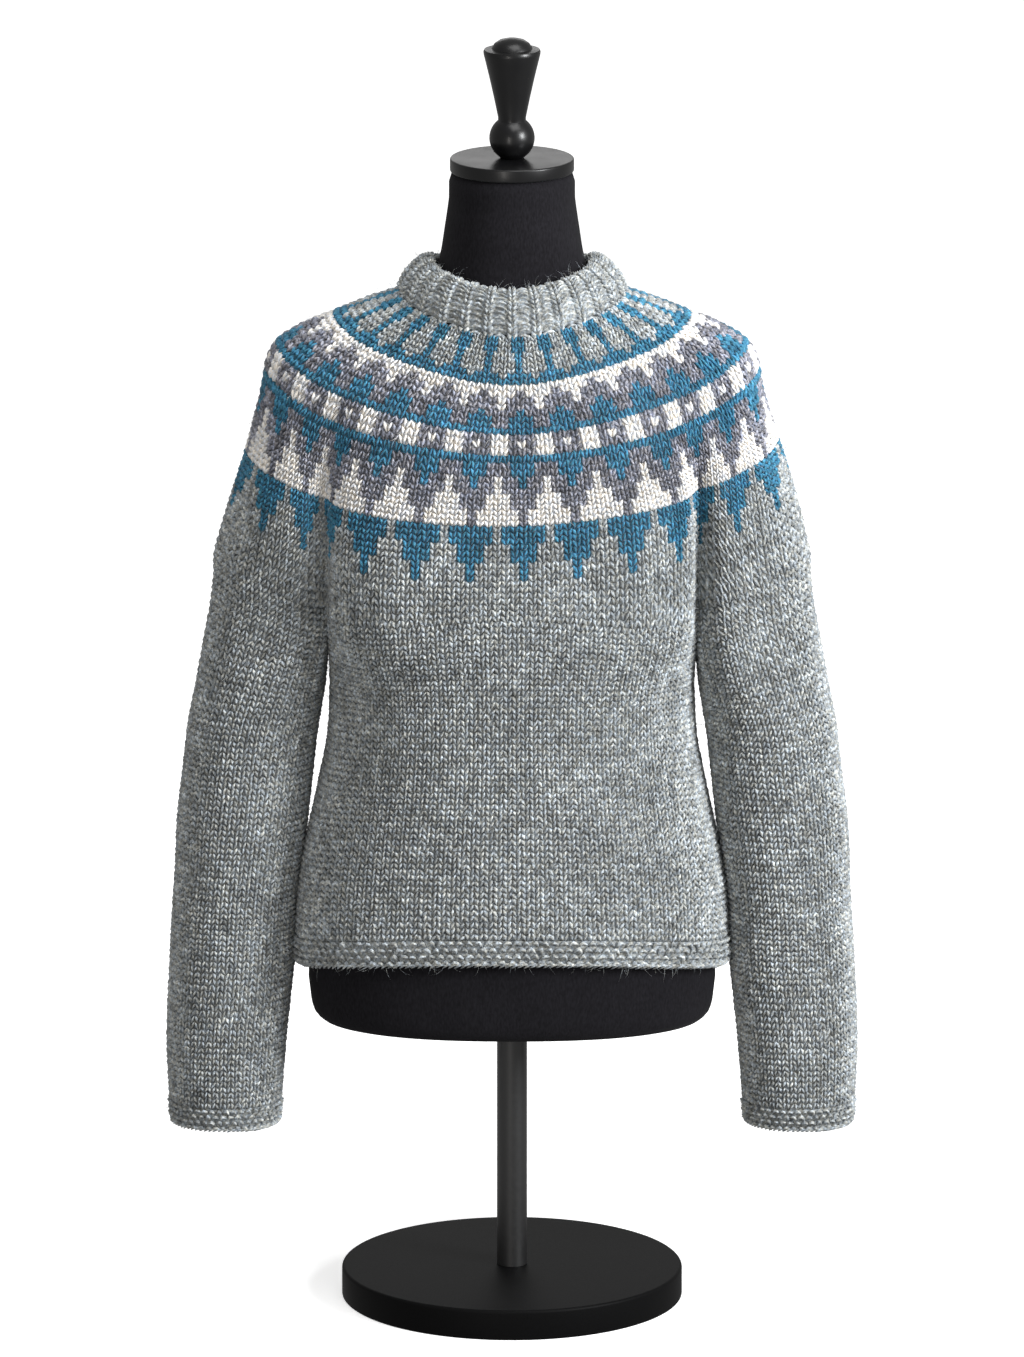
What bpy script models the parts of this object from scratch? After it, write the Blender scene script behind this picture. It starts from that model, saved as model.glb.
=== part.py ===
"""Knitted yoke sweater worn by a limbless dress form on a round stand.

X runs to the right of the front, -Y is the front and Z is up, in metres. The origin is the middle of
the base's underside. The sweater is knitted in the round: a body tube, two sleeve tubes and one round
yoke that joins them at the underarms, so places on it are given in stitches round and rows up.
"""

import math
from collections import namedtuple

import bmesh
import bpy
import numpy as np

GAP = 0.0003  # between pieces that meet
JOIN_DROP = 0.0006  # body and sleeves start this far under the yoke's sloping lower edge
SHOULDER_GAP = 0.0009  # between the form's shoulders and the cloth that hangs on them
WALL = 0.0033  # one layer of the thick knit

BASE_WIDTH = 0.312
BASE_HEIGHT = 0.028
BASE_EDGE = 0.003
POLE_WIDTH = 0.0276
FORM_BOTTOM = 0.265
FORM_TOP = 1.0525
CAP_WIDTH = 0.112
CAP_HEIGHT = 0.012
CAP_EDGE = 0.0016
FINIAL_HEIGHT = 0.1096

FRONT_STITCHES = 50  # armpit to armpit across the front, and the same across the back
SLEEVE_STITCHES = 34  # armpit to armpit round the outside of one sleeve
UNDERARM_STITCHES = 11  # the short strip where body and sleeve are grafted together
YOKE_STITCHES = 2 * (FRONT_STITCHES + SLEEVE_STITCHES)
BODY_STITCHES = 2 * (FRONT_STITCHES + UNDERARM_STITCHES)
CUFF_STITCHES = SLEEVE_STITCHES + UNDERARM_STITCHES

ARMPIT_X = 0.1675
ARMPIT_DEPTH = 0.044
YOKE_EXPONENT = 2.06
BODY_EXPONENT = 2.45
SLEEVE_EXPONENT = 2.25
EDGE_EASE = 1.75  # how soon a body ring drops from its middle to its sides
JOIN_SHARE = 0.3  # share of a tube's height over which its shape follows the yoke's lower edge

FRONT_COLUMNS = 18
SLEEVE_COLUMNS = 12
UNDERARM_COLUMNS = 4
YOKE_RING_ROWS = (0, 3.5, 7, 11.5, 16, 20.5, 25, 29, 32.5, 35, 37.5, 41, 44.5, 48)
SHOULDER_ROW = 35  # from here up the form's shoulders carry the yoke

# One row for each level of the yoke, underarm to neck. The crease is 1 where body and sleeves part,
# and the armpit is the depth of its trough. The lift raises the right side and lowers the left.
YokeLevel = namedtuple(
    "YokeLevel", "row front_z armpit_z side_z back_z lift half_width front back armpit lobe crease"
)
YOKE_LEVELS = (
    YokeLevel(0, 0.665, 0.657, 0.700, 0.672, 0.000, 0.2690, 0.1260, 0.1160, 0.044, 0.062, 1.00),
    YokeLevel(7, 0.702, 0.717, 0.751, 0.714, 0.005, 0.2555, 0.1255, 0.1160, 0.062, 0.077, 0.95),
    YokeLevel(16, 0.752, 0.772, 0.799, 0.770, 0.005, 0.2405, 0.1230, 0.1145, 0.076, 0.086, 0.75),
    YokeLevel(25, 0.797, 0.817, 0.846, 0.818, 0.001, 0.2270, 0.1195, 0.1120, 0.080, 0.086, 0.40),
    YokeLevel(31, 0.835, 0.863, 0.893, 0.860, 0.000, 0.2145, 0.1160, 0.1090, 0.080, 0.084, 0.12),
    YokeLevel(35, 0.856, 0.886, 0.910, 0.884, 0.000, 0.1890, 0.1120, 0.1060, 0.080, 0.084, 0.03),
    YokeLevel(39, 0.879, 0.902, 0.921, 0.909, 0.000, 0.1625, 0.1080, 0.1020, 0.080, 0.084, 0.00),
    YokeLevel(44, 0.9025, 0.921, 0.934, 0.936, 0.000, 0.1300, 0.1015, 0.0965, 0.080, 0.084, 0.00),
    YokeLevel(48, 0.9205, 0.934, 0.943, 0.953, 0.000, 0.1025, 0.0950, 0.0910, 0.080, 0.084, 0.00),
)

# A quarter of a pinched ring, front middle to sleeve's outer edge. Up to the armpit the shares are of
# the armpit's x and of the chest's depth beyond the armpit's. Past it they are of the sleeve's width
# and of its lobe's depth.
RingKey = namedtuple("RingKey", "stitch x_share y_share")
CHEST_KEYS = (
    RingKey(0, 0.00, 1.000),
    RingKey(8, 0.39, 0.965),
    RingKey(15, 0.73, 0.820),
    RingKey(21, 0.955, 0.430),
    RingKey(25, 1.00, 0.000),
)
LOBE_KEYS = (
    RingKey(28, 0.19, 1.00),
    RingKey(32, 0.46, 0.98),
    RingKey(37, 0.81, 0.72),
    RingKey(42, 1.00, 0.00),
)

# One row for each level of the body tube, top of the hem band to underarm.
BodyLevel = namedtuple("BodyLevel", "share side_z front_z back_z half_width front back")
BODY_LEVELS = (
    BodyLevel(0.00, 0.344, 0.367, 0.352, 0.1965, 0.1215, 0.1140),
    BodyLevel(0.14, 0.388, 0.409, 0.397, 0.1935, 0.1215, 0.1130),
    BodyLevel(0.26, 0.424, 0.444, 0.433, 0.1880, 0.1205, 0.1120),
    BodyLevel(0.38, 0.462, 0.480, 0.471, 0.1795, 0.1195, 0.1110),
    BodyLevel(0.48, 0.493, 0.509, 0.502, 0.1730, 0.1195, 0.1110),
    BodyLevel(0.58, 0.525, 0.540, 0.534, 0.1668, 0.1205, 0.1120),
    BodyLevel(0.72, 0.570, 0.583, 0.579, 0.1640, 0.1230, 0.1140),
    BodyLevel(0.86, 0.613, 0.624, 0.623, 0.1632, 0.1250, 0.1155),
    BodyLevel(1.00, 0.657, 0.665, 0.672, 0.1670, 0.1260, 0.1160),
)
HEM_DROP = 0.024
HEM_FLARE = 0.0008

# One row for each level of a sleeve tube, top of the cuff to underarm.
SleeveLevel = namedtuple("SleeveLevel", "share z inner outer front back")
SLEEVE_LEVELS = (
    SleeveLevel(0.00, 0.187, 0.2125, 0.3120, 0.0450, 0.0410),
    SleeveLevel(0.12, 0.242, 0.2080, 0.3140, 0.0480, 0.0430),
    SleeveLevel(0.27, 0.320, 0.2000, 0.3110, 0.0490, 0.0440),
    SleeveLevel(0.39, 0.374, 0.1975, 0.3080, 0.0495, 0.0450),
    SleeveLevel(0.52, 0.438, 0.1890, 0.3050, 0.0505, 0.0470),
    SleeveLevel(0.69, 0.522, 0.1797, 0.2955, 0.0530, 0.0510),
    SleeveLevel(0.79, 0.570, 0.1743, 0.2910, 0.0560, 0.0540),
    SleeveLevel(0.90, 0.622, 0.1710, 0.2890, 0.0600, 0.0570),
    SleeveLevel(1.00, 0.672, 0.1680, 0.2740, 0.0640, 0.0600),
)
CUFF_DROP = 0.021
CUFF_DRAW_IN = 0.0022

# The neckband's section, from its outer foot over the rolled rim to its inner foot: how far each line
# stands in from the yoke's top edge at the sides and at front and back, and how far above it.
BandLine = namedtuple("BandLine", "inset middle_inset rise")
NECKBAND_LINES = (
    BandLine(0.0048, 0.0030, 0.0130),
    BandLine(0.0130, 0.0085, 0.0235),
    BandLine(0.0222, 0.0155, 0.0305),
    BandLine(0.0278, 0.0212, 0.0315),
    BandLine(0.0305, 0.0245, 0.0285),
    BandLine(0.0210, 0.0175, 0.0195),
    BandLine(0.0125, 0.0105, 0.0105),
    BandLine(0.0082, 0.0072, 0.0035),
)

# Soft troughs: stitch and row of the middle, the reach in stitches and in rows, and the depth.
Trough = namedtuple("Trough", "stitch share stitch_reach share_reach depth")
BODY_TROUGHS = (
    Trough(-21, 0.80, 3.0, 0.16, 0.0050),
    Trough(20, 0.76, 2.6, 0.13, 0.0042),
    Trough(-13, 0.16, 4.5, 0.15, 0.0035),
    Trough(9, 0.10, 5.5, 0.12, 0.0030),
    Trough(40, 0.78, 3.0, 0.15, 0.0048),
    Trough(81, 0.74, 3.4, 0.14, 0.0045),
    Trough(57, 0.14, 6.0, 0.14, 0.0034),
)
LEFT_TROUGHS = (
    Trough(9, 0.88, 3.0, 0.12, 0.0040),
    Trough(12, 0.47, 5.0, 0.06, 0.0030),
    Trough(24, 0.55, 4.0, 0.08, 0.0034),
    Trough(7, 0.13, 3.4, 0.07, 0.0026),
)
RIGHT_TROUGHS = (
    Trough(8, 0.90, 3.2, 0.10, 0.0042),
    Trough(11, 0.40, 4.6, 0.07, 0.0028),
    Trough(25, 0.50, 4.2, 0.07, 0.0032),
    Trough(6, 0.18, 3.0, 0.08, 0.0028),
)

# The dress form below its shoulders, bottom to top, then its neck. Above the last torso ring its
# shoulders follow the inside of the yoke.
FormRing = namedtuple("FormRing", "side_z front_z back_z half_width front back")
TORSO_RINGS = (
    FormRing(0.2650, 0.2650, 0.2650, 0.1660, 0.0950, 0.0890),
    FormRing(0.2672, 0.2672, 0.2672, 0.1745, 0.1030, 0.0965),
    FormRing(0.2735, 0.2735, 0.2735, 0.1808, 0.1090, 0.1020),
    FormRing(0.2830, 0.2830, 0.2830, 0.1835, 0.1115, 0.1045),
    FormRing(0.3450, 0.3450, 0.3450, 0.1835, 0.1120, 0.1050),
    FormRing(0.4100, 0.4100, 0.4100, 0.1790, 0.1110, 0.1035),
    FormRing(0.4700, 0.4700, 0.4700, 0.1690, 0.1090, 0.1015),
    FormRing(0.5300, 0.5300, 0.5300, 0.1600, 0.1090, 0.1020),
    FormRing(0.5900, 0.5900, 0.5900, 0.1570, 0.1120, 0.1040),
    FormRing(0.6500, 0.6500, 0.6500, 0.1570, 0.1150, 0.1060),
    FormRing(0.7150, 0.7000, 0.7000, 0.1610, 0.1150, 0.1060),
    FormRing(0.7800, 0.7450, 0.7450, 0.1740, 0.1130, 0.1050),
    FormRing(0.8300, 0.7800, 0.7850, 0.1880, 0.1090, 0.1015),
    FormRing(0.8660, 0.8180, 0.8250, 0.1970, 0.1050, 0.0980),
)
NECK_RINGS = (
    FormRing(0.9440, 0.9250, 0.9540, 0.0835, 0.0780, 0.0740),
    FormRing(0.9540, 0.9390, 0.9640, 0.0715, 0.0670, 0.0635),
    FormRing(0.9730, 0.9670, 0.9770, 0.0655, 0.0620, 0.0590),
    FormRing(1.0000, 0.9990, 1.0010, 0.0610, 0.0600, 0.0580),
    FormRing(1.0280, 1.0280, 1.0280, 0.0570, 0.0565, 0.0550),
    FormRing(1.0500, 1.0500, 1.0500, 0.0548, 0.0545, 0.0535),
    FormRing(FORM_TOP, FORM_TOP, FORM_TOP, 0.0530, 0.0527, 0.0517),
)

# The finial's profile above the cap, foot to crown, as radius and height. The ball is worked out.
FINIAL_FOOT = ((0.0105, 0.0000), (0.0130, 0.0012))
BALL_RADIUS = 0.0205
BALL_MIDDLE = 0.0180
FINIAL_NECK = 0.0126
FINIAL_STEM = (
    (0.0126, 0.0370),
    (0.0165, 0.0560),
    (0.0205, 0.0740),
    (0.0240, 0.0885),
    (0.0256, 0.0950),
    (0.0258, 0.0975),
    (0.0250, 0.0993),
    (0.0185, 0.1000),
    (0.0178, 0.1016),
    (0.0158, 0.1046),
    (0.0115, 0.1076),
    (0.0055, 0.1092),
)


def smooth_step(x):
    x = np.clip(x, 0.0, 1.0)
    return x * x * (3.0 - 2.0 * x)


def curve_through(knots, values, at):
    """A smooth curve through these values at these knots, read at other places along it."""
    knots = np.asarray(knots, float)
    values = np.asarray(values, float)
    at = np.asarray(at, float)
    slopes = np.gradient(values, knots, axis=0)
    k = np.clip(np.searchsorted(knots, at, side="right") - 1, 0, len(knots) - 2)
    span = knots[k + 1] - knots[k]
    u = (at - knots[k]) / span
    if values.ndim > 1:
        u = u[..., None]
        span = span[..., None]
    u2 = u * u
    u3 = u2 * u
    return (
        (2 * u3 - 3 * u2 + 1) * values[k]
        + (u3 - 2 * u2 + u) * span * slopes[k]
        + (3 * u2 - 2 * u3) * values[k + 1]
        + (u3 - u2) * span * slopes[k + 1]
    )


def closed_curve(knots, values, period, at):
    """The same for a ring: the knots repeat after one period."""
    knots = np.asarray(knots, float)
    values = np.asarray(values, float)
    around = np.concatenate([knots[-3:] - period, knots, knots[:3] + period])
    repeated = np.concatenate([values[-3:], values, values[:3]])
    start = knots[0]
    return curve_through(around, repeated, (np.asarray(at, float) - start) % period + start)


def level_at(levels, knot):
    """One level of a table of them, between its rows. The first column is the place."""
    table = np.array(levels, float)
    return type(levels[0])(*curve_through(table[:, 0], table, np.array([knot]))[0])


def oval_quarter(half_width, depth, exponent, shares):
    """Points (x, y) from the front middle to the side, at these shares of the quarter's length."""
    angle = np.linspace(0.0, math.pi / 2, 241)
    x = half_width * np.sin(angle) ** (2 / exponent)
    y = -depth * np.abs(np.cos(angle)) ** (2 / exponent)
    y[-1] = 0.0
    length = np.concatenate([[0.0], np.cumsum(np.hypot(np.diff(x), np.diff(y)))])
    at = np.asarray(shares) * length[-1]
    return np.stack([np.interp(at, length, x), np.interp(at, length, y)], axis=-1)


def oval_ring(half_width, front, back, exponent, around):
    """Points (x, y) of an oval, at these shares of a full turn from the front middle towards +X."""
    around = np.asarray(around, float) % 1.0
    behind = (around > 0.25) & (around < 0.75)
    from_middle = np.where(around > 0.5, 1.0 - around, around)
    quarter = np.where(behind, 0.5 - from_middle, from_middle) * 4
    ahead_xy = oval_quarter(half_width, front, exponent, quarter)
    behind_xy = oval_quarter(half_width, back, exponent, quarter) * (1, -1)
    xy = np.where(behind[:, None], behind_xy, ahead_xy)
    xy[around > 0.5, 0] *= -1
    return xy


def ring_quarter(level, depth):
    """Stitches and points (x, y) of the yoke's ring in one front quarter, pinched at the armpit."""
    stitches = np.array([key.stitch for key in CHEST_KEYS + LOBE_KEYS])
    smooth = oval_quarter(level.half_width, depth, YOKE_EXPONENT, stitches / (YOKE_STITCHES / 4))
    beyond = depth - level.armpit
    sleeve_width = level.half_width - ARMPIT_X
    pinched = [(key.x_share * ARMPIT_X, -level.armpit - key.y_share * beyond) for key in CHEST_KEYS]
    pinched += [(ARMPIT_X + key.x_share * sleeve_width, -key.y_share * level.lobe) for key in LOBE_KEYS]
    return stitches, smooth + level.crease * (np.array(pinched) - smooth)


def yoke_ring(row, stitches):
    """Points of one round of the yoke, at these stitches from the front middle towards +X."""
    level = level_at(YOKE_LEVELS, row)
    at, ahead = ring_quarter(level, level.front)
    _, behind = ring_quarter(level, level.back)
    half = YOKE_STITCHES / 2
    knots = list(at) + [half - s for s in at[-2::-1]]
    points = list(ahead) + [(x, -y) for x, y in behind[-2::-1]]
    knots += [YOKE_STITCHES - s for s in knots[-2:0:-1]]
    points += [(-x, y) for x, y in points[-2:0:-1]]
    xy = closed_curve(knots, points, YOKE_STITCHES, stitches)
    armpit = FRONT_STITCHES / 2
    side = YOKE_STITCHES / 4
    z_knots = [0, armpit, side, half - armpit, half, half + armpit, half + side, YOKE_STITCHES - armpit]
    heights = [level.front_z, level.armpit_z, level.side_z, level.armpit_z, level.back_z]
    heights += [level.armpit_z, level.side_z, level.armpit_z]
    z = closed_curve(z_knots, heights, YOKE_STITCHES, stitches)
    z += level.lift * np.sin(np.asarray(stitches) * 2 * math.pi / YOKE_STITCHES)
    return np.column_stack([xy, z])


def underarm_strip(side, shares):
    """The short line from the armpit's front to its back where body and sleeve are grafted."""
    level = YOKE_LEVELS[0]
    y = -ARMPIT_DEPTH + 2 * ARMPIT_DEPTH * np.asarray(shares)
    return np.column_stack([np.full_like(y, side * ARMPIT_X), y, np.full_like(y, level.armpit_z)])


def eased_height(xy, level):
    """Heights round a ring that hangs lower at its sides than at its front and back."""
    in_front = xy[:, 1] < 0
    middle_z = np.where(in_front, level.front_z, level.back_z)
    depth = np.where(in_front, level.front, level.back)
    ease = np.clip(np.abs(xy[:, 1]) / depth, 0.0, 1.0) ** EDGE_EASE
    return level.side_z + (middle_z - level.side_z) * ease


def body_ring(share, stitches):
    """Points of one round of the body, at these stitches from the front middle towards +X."""
    stitches = np.asarray(stitches, float) % BODY_STITCHES
    level = level_at(BODY_LEVELS, share)
    around = stitches / BODY_STITCHES
    xy = oval_ring(level.half_width, level.front, level.back, BODY_EXPONENT, around)
    below = np.column_stack([xy, eased_height(xy, level)])
    joined = below.copy()
    half = FRONT_STITCHES / 2
    front = (stitches <= half) | (stitches >= BODY_STITCHES - half)
    back_start = half + UNDERARM_STITCHES
    back = (stitches >= back_start) & (stitches <= back_start + FRONT_STITCHES)
    right = (stitches > half) & (stitches < back_start)
    left = ~(front | back | right)
    signed = np.where(stitches > BODY_STITCHES / 2, stitches - BODY_STITCHES, stitches)
    joined[front] = yoke_ring(0, signed[front])
    joined[back] = yoke_ring(0, stitches[back] - UNDERARM_STITCHES + SLEEVE_STITCHES)
    joined[right] = underarm_strip(1, (stitches[right] - half) / UNDERARM_STITCHES)
    joined[left] = underarm_strip(-1, (-half - signed[left]) / UNDERARM_STITCHES)
    weight = smooth_step((share - 1.0 + JOIN_SHARE) / JOIN_SHARE)
    joined[:, 2] += below[:, 2] - eased_height(xy, BODY_LEVELS[-1])
    return below + weight * (joined - below)


def sleeve_ring(side, share, stitches):
    """Points of one round of a sleeve, at these stitches from the armpit's front round the outside."""
    stitches = np.asarray(stitches, float) % CUFF_STITCHES
    level = level_at(SLEEVE_LEVELS, share)
    half_width = (level.outer - level.inner) / 2
    outermost = SLEEVE_STITCHES / 2
    around = (stitches - outermost) / CUFF_STITCHES + 0.25
    xy = oval_ring(half_width, level.front, level.back, SLEEVE_EXPONENT, around)
    xy[:, 0] += (level.outer + level.inner) / 2
    below = np.column_stack([xy, np.full(len(xy), level.z)])
    joined = below.copy()
    outside = stitches <= SLEEVE_STITCHES
    joined[outside] = yoke_ring(0, FRONT_STITCHES / 2 + stitches[outside])
    strip_share = 1.0 - (stitches[~outside] - SLEEVE_STITCHES) / UNDERARM_STITCHES
    joined[~outside] = underarm_strip(1, strip_share)
    weight = smooth_step((share - 1.0 + JOIN_SHARE) / JOIN_SHARE)
    joined[:, 2] += level.z - SLEEVE_LEVELS[-1].z
    ring = below + weight * (joined - below)
    ring[:, 0] *= side
    return ring


def trough_depth(troughs, stitches, share, period):
    """How far the cloth is pushed in by the soft troughs at these places."""
    depth = np.zeros(len(stitches))
    for trough in troughs:
        away = (np.asarray(stitches, float) - trough.stitch + period / 2) % period - period / 2
        across = np.exp(-((away / trough.stitch_reach) ** 2))
        along = math.exp(-(((share - trough.share) / trough.share_reach) ** 2))
        depth += trough.depth * across * along
    return depth


def outward_normals(grid, flat_rows=()):
    """Unit normals of a grid of rings, facing away from each ring's middle."""
    along_ring = np.roll(grid, -1, axis=1) - np.roll(grid, 1, axis=1)
    up = np.gradient(grid, axis=0)
    normals = np.cross(along_ring, up)
    for row in flat_rows:
        normals[row, :, 2] = 0.0
    normals /= np.linalg.norm(normals, axis=2, keepdims=True)
    away = grid - grid.mean(axis=1, keepdims=True)
    if (normals * away).sum() < 0:
        normals = -normals
    return normals


def lay_in(grid, depths):
    """Moves a grid of rings inwards by these depths, with its first and last ring left in place."""
    held = np.ones(len(grid))
    held[0] = held[-1] = 0.0
    return grid - outward_normals(grid) * (depths * held[:, None])[:, :, None]


def material(name, colour, roughness, metallic=0.0):
    made = bpy.data.materials.new(name)
    made.use_nodes = True
    shader = made.node_tree.nodes["Principled BSDF"]
    shader.inputs["Base Color"].default_value = (*colour, 1.0)
    shader.inputs["Roughness"].default_value = roughness
    shader.inputs["Metallic"].default_value = metallic
    made.diffuse_color = (*colour, 1.0)
    return made


def add_object(name, vertices, faces, finish, sharp_above=50.0):
    """A mesh object from points and faces, its normals made consistent and its sides shaded smooth."""
    mesh = bpy.data.meshes.new(name)
    mesh.from_pydata([tuple(v) for v in vertices], [], faces)
    work = bmesh.new()
    work.from_mesh(mesh)
    bmesh.ops.recalc_face_normals(work, faces=work.faces)
    work.to_mesh(mesh)
    work.free()
    mesh.shade_smooth()
    mesh.set_sharp_from_angle(angle=math.radians(sharp_above))
    mesh.materials.append(finish)
    made = bpy.data.objects.new(name, mesh)
    bpy.context.scene.collection.objects.link(made)
    return made


def ring_faces(rings, columns, closed_section):
    """Quads between rings of the same number of columns. A closed section joins last ring to first."""
    faces = []
    last = rings if closed_section else rings - 1
    for i in range(last):
        low = i * columns
        high = (i + 1) % rings * columns
        for j in range(columns):
            k = (j + 1) % columns
            faces.append((low + j, low + k, high + k, high + j))
    return faces


def add_section_loop(name, rings, finish):
    """A closed band: the rings follow its section all the way round, and the last joins the first."""
    rings = np.asarray(rings)
    faces = ring_faces(len(rings), rings.shape[1], True)
    return add_object(name, rings.reshape(-1, 3), faces, finish)


def add_cloth_tube(name, outer, inner, finish):
    """A wall of cloth open at both ends, from the grid of its outer face and of its inner one."""
    rings = np.concatenate([outer, inner[::-1]])
    return add_section_loop(name, rings, finish)


def add_solid_of_rings(name, rings, finish):
    """A solid through these rings, with its two ends closed flat."""
    rings = np.asarray(rings)
    count, columns = rings.shape[:2]
    faces = ring_faces(count, columns, False)
    faces.append(tuple(range(columns)))
    faces.append(tuple((count - 1) * columns + j for j in range(columns)))
    return add_object(name, rings.reshape(-1, 3), faces, finish, sharp_above=35.0)


def turned_rings(profile, base_z, columns):
    """Rings round the Z axis for a profile of (radius, height)."""
    angle = np.linspace(0.0, 2 * math.pi, columns, endpoint=False)
    rings = []
    for radius, height in profile:
        x = radius * np.cos(angle)
        y = radius * np.sin(angle)
        rings.append(np.column_stack([x, y, np.full(columns, base_z + height)]))
    return rings


def column_stitches(parts):
    """Stitch places of a ring's columns: each part is (first stitch, stitches, columns)."""
    return np.concatenate([np.linspace(a, a + n, c, endpoint=False) for a, n, c in parts])


def yoke_columns():
    half = FRONT_STITCHES / 2
    back = half + SLEEVE_STITCHES
    return column_stitches((
        (-half, FRONT_STITCHES, FRONT_COLUMNS),
        (half, SLEEVE_STITCHES, SLEEVE_COLUMNS),
        (back, FRONT_STITCHES, FRONT_COLUMNS),
        (back + FRONT_STITCHES, SLEEVE_STITCHES, SLEEVE_COLUMNS),
    ))


def body_columns():
    half = FRONT_STITCHES / 2
    back = half + UNDERARM_STITCHES
    return column_stitches((
        (-half, FRONT_STITCHES, FRONT_COLUMNS),
        (half, UNDERARM_STITCHES, UNDERARM_COLUMNS),
        (back, FRONT_STITCHES, FRONT_COLUMNS),
        (back + FRONT_STITCHES, UNDERARM_STITCHES, UNDERARM_COLUMNS),
    ))


def sleeve_columns():
    return column_stitches((
        (0, SLEEVE_STITCHES, SLEEVE_COLUMNS),
        (SLEEVE_STITCHES, UNDERARM_STITCHES, UNDERARM_COLUMNS),
    ))


def build_yoke(finish):
    """The round yoke. Its lower edge is level across the wall, where body and sleeves meet it."""
    columns = yoke_columns()
    outer = np.array([yoke_ring(row, columns) for row in YOKE_RING_ROWS])
    inner = outer - WALL * outward_normals(outer, flat_rows=(0,))
    add_cloth_tube("yoke", outer, inner, finish)
    return outer


def build_neckband(yoke_outer, finish):
    """The doubled rib neckband, standing on the yoke's top edge with its rim rolled in."""
    top = yoke_outer[-1]
    inward_slope = top - yoke_outer[-2]
    inward_slope /= np.linalg.norm(inward_slope, axis=1, keepdims=True)
    foot = top + GAP * inward_slope
    reach = np.linalg.norm(top[:, :2], axis=1, keepdims=True)
    outwards = top[:, :2] / reach
    middleness = outwards[:, 1] ** 2
    frontness = np.clip(-outwards[:, 1], 0.0, 1.0) ** 2
    rings = [foot]
    for line in NECKBAND_LINES:
        inset = line.inset + (line.middle_inset - line.inset) * middleness
        ring = top.copy()
        ring[:, :2] -= outwards * inset[:, None]
        ring[:, 2] += line.rise * (1.0 + 0.22 * frontness)
        rings.append(ring)
    add_section_loop("neckband", rings, finish)


def build_body(finish):
    """The body tube, its top edge just under the yoke's lower edge."""
    columns = body_columns()
    shares = (0.0, 0.12, 0.25, 0.38, 0.50, 0.62, 0.74, 0.85, 0.93, 1.0)
    outer = np.array([body_ring(share, columns) for share in shares])
    depths = np.array([trough_depth(BODY_TROUGHS, columns, share, BODY_STITCHES) for share in shares])
    outer = lay_in(outer, depths)
    outer[-1, :, 2] -= JOIN_DROP
    strip = np.abs(np.abs(outer[-1, :, 0]) - ARMPIT_X) < GAP
    outer[-1, strip, 0] -= np.sign(outer[-1, strip, 0]) * GAP
    inner = outer - WALL * outward_normals(outer, flat_rows=(0, -1))
    add_cloth_tube("sweater_body", outer, inner, finish)
    return outer, inner


def build_hem(body_outer, body_inner, finish):
    """The garter hem band, hanging from the body's lower edge."""
    drops = (HEM_DROP, HEM_DROP / 2, 0.0)
    flares = (0.0, HEM_FLARE, 0.0)
    outwards = outward_normals(body_outer, flat_rows=(0,))[0]
    outer, inner = [], []
    for drop, flare in zip(drops, flares):
        down = np.array((0.0, 0.0, -GAP - drop))
        outer.append(body_outer[0] + down + outwards * flare)
        inner.append(body_inner[0] + down)
    add_cloth_tube("hem_band", np.array(outer), np.array(inner), finish)


def build_sleeve(side, name, cuff_name, troughs, finish, cuff_finish):
    """One sleeve tube with its garter cuff."""
    columns = sleeve_columns()
    shares = (0.0, 0.06, 0.14, 0.23, 0.33, 0.43, 0.53, 0.63, 0.72, 0.80, 0.87, 0.94, 1.0)
    outer = np.array([sleeve_ring(side, share, columns) for share in shares])
    depths = np.array([trough_depth(troughs, columns, share, CUFF_STITCHES) for share in shares])
    outer = lay_in(outer, depths)
    outer[-1, :, 2] -= JOIN_DROP
    strip = (columns >= SLEEVE_STITCHES) | (columns <= 0)
    outer[-1, strip, 0] += side * GAP
    outwards = outward_normals(outer, flat_rows=(0, -1))
    inner = outer - WALL * outwards
    add_cloth_tube(name, outer, inner, finish)
    cuff_outer, cuff_inner = [], []
    for share in (1.0, 0.5, 0.0):
        move = np.array((0.0, 0.0, -GAP - CUFF_DROP * share))
        draw_in = CUFF_DRAW_IN * share**2
        cuff_outer.append(outer[0] + move - outwards[0] * draw_in)
        cuff_inner.append(inner[0] + move - outwards[0] * draw_in)
    add_cloth_tube(cuff_name, np.array(cuff_outer), np.array(cuff_inner), cuff_finish)


def form_ring(ring, exponent, around):
    """One ring of the dress form, its height easing from the middle to the side."""
    xy = oval_ring(ring.half_width, ring.front, ring.back, exponent, around)
    return np.column_stack([xy, eased_height(xy, ring)])


def build_form(yoke_outer, finish):
    """The limbless torso and neck. Its shoulders carry the yoke, a hair below it."""
    around = yoke_columns() / YOKE_STITCHES
    rings = [form_ring(ring, 2.35, around) for ring in TORSO_RINGS]
    under = yoke_outer - (WALL + SHOULDER_GAP) * outward_normals(yoke_outer)
    rings += list(under[YOKE_RING_ROWS.index(SHOULDER_ROW):])
    rings += [form_ring(ring, 2.0, around) for ring in NECK_RINGS]
    add_solid_of_rings("dress_form", rings, finish)


def build_stand(finish):
    """The round base and the pole that carries the form."""
    half = BASE_WIDTH / 2
    base_profile = (
        (half - BASE_EDGE / 2, 0.0),
        (half, BASE_EDGE / 2),
        (half, BASE_HEIGHT - BASE_EDGE),
        (half - BASE_EDGE * 0.3, BASE_HEIGHT - BASE_EDGE * 0.3),
        (half - BASE_EDGE, BASE_HEIGHT),
    )
    add_solid_of_rings("base_disc", turned_rings(base_profile, 0.0, 60), finish)
    pole_profile = ((POLE_WIDTH / 2, BASE_HEIGHT + GAP), (POLE_WIDTH / 2, FORM_BOTTOM - GAP))
    add_solid_of_rings("pole", turned_rings(pole_profile, 0.0, 32), finish)


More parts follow.
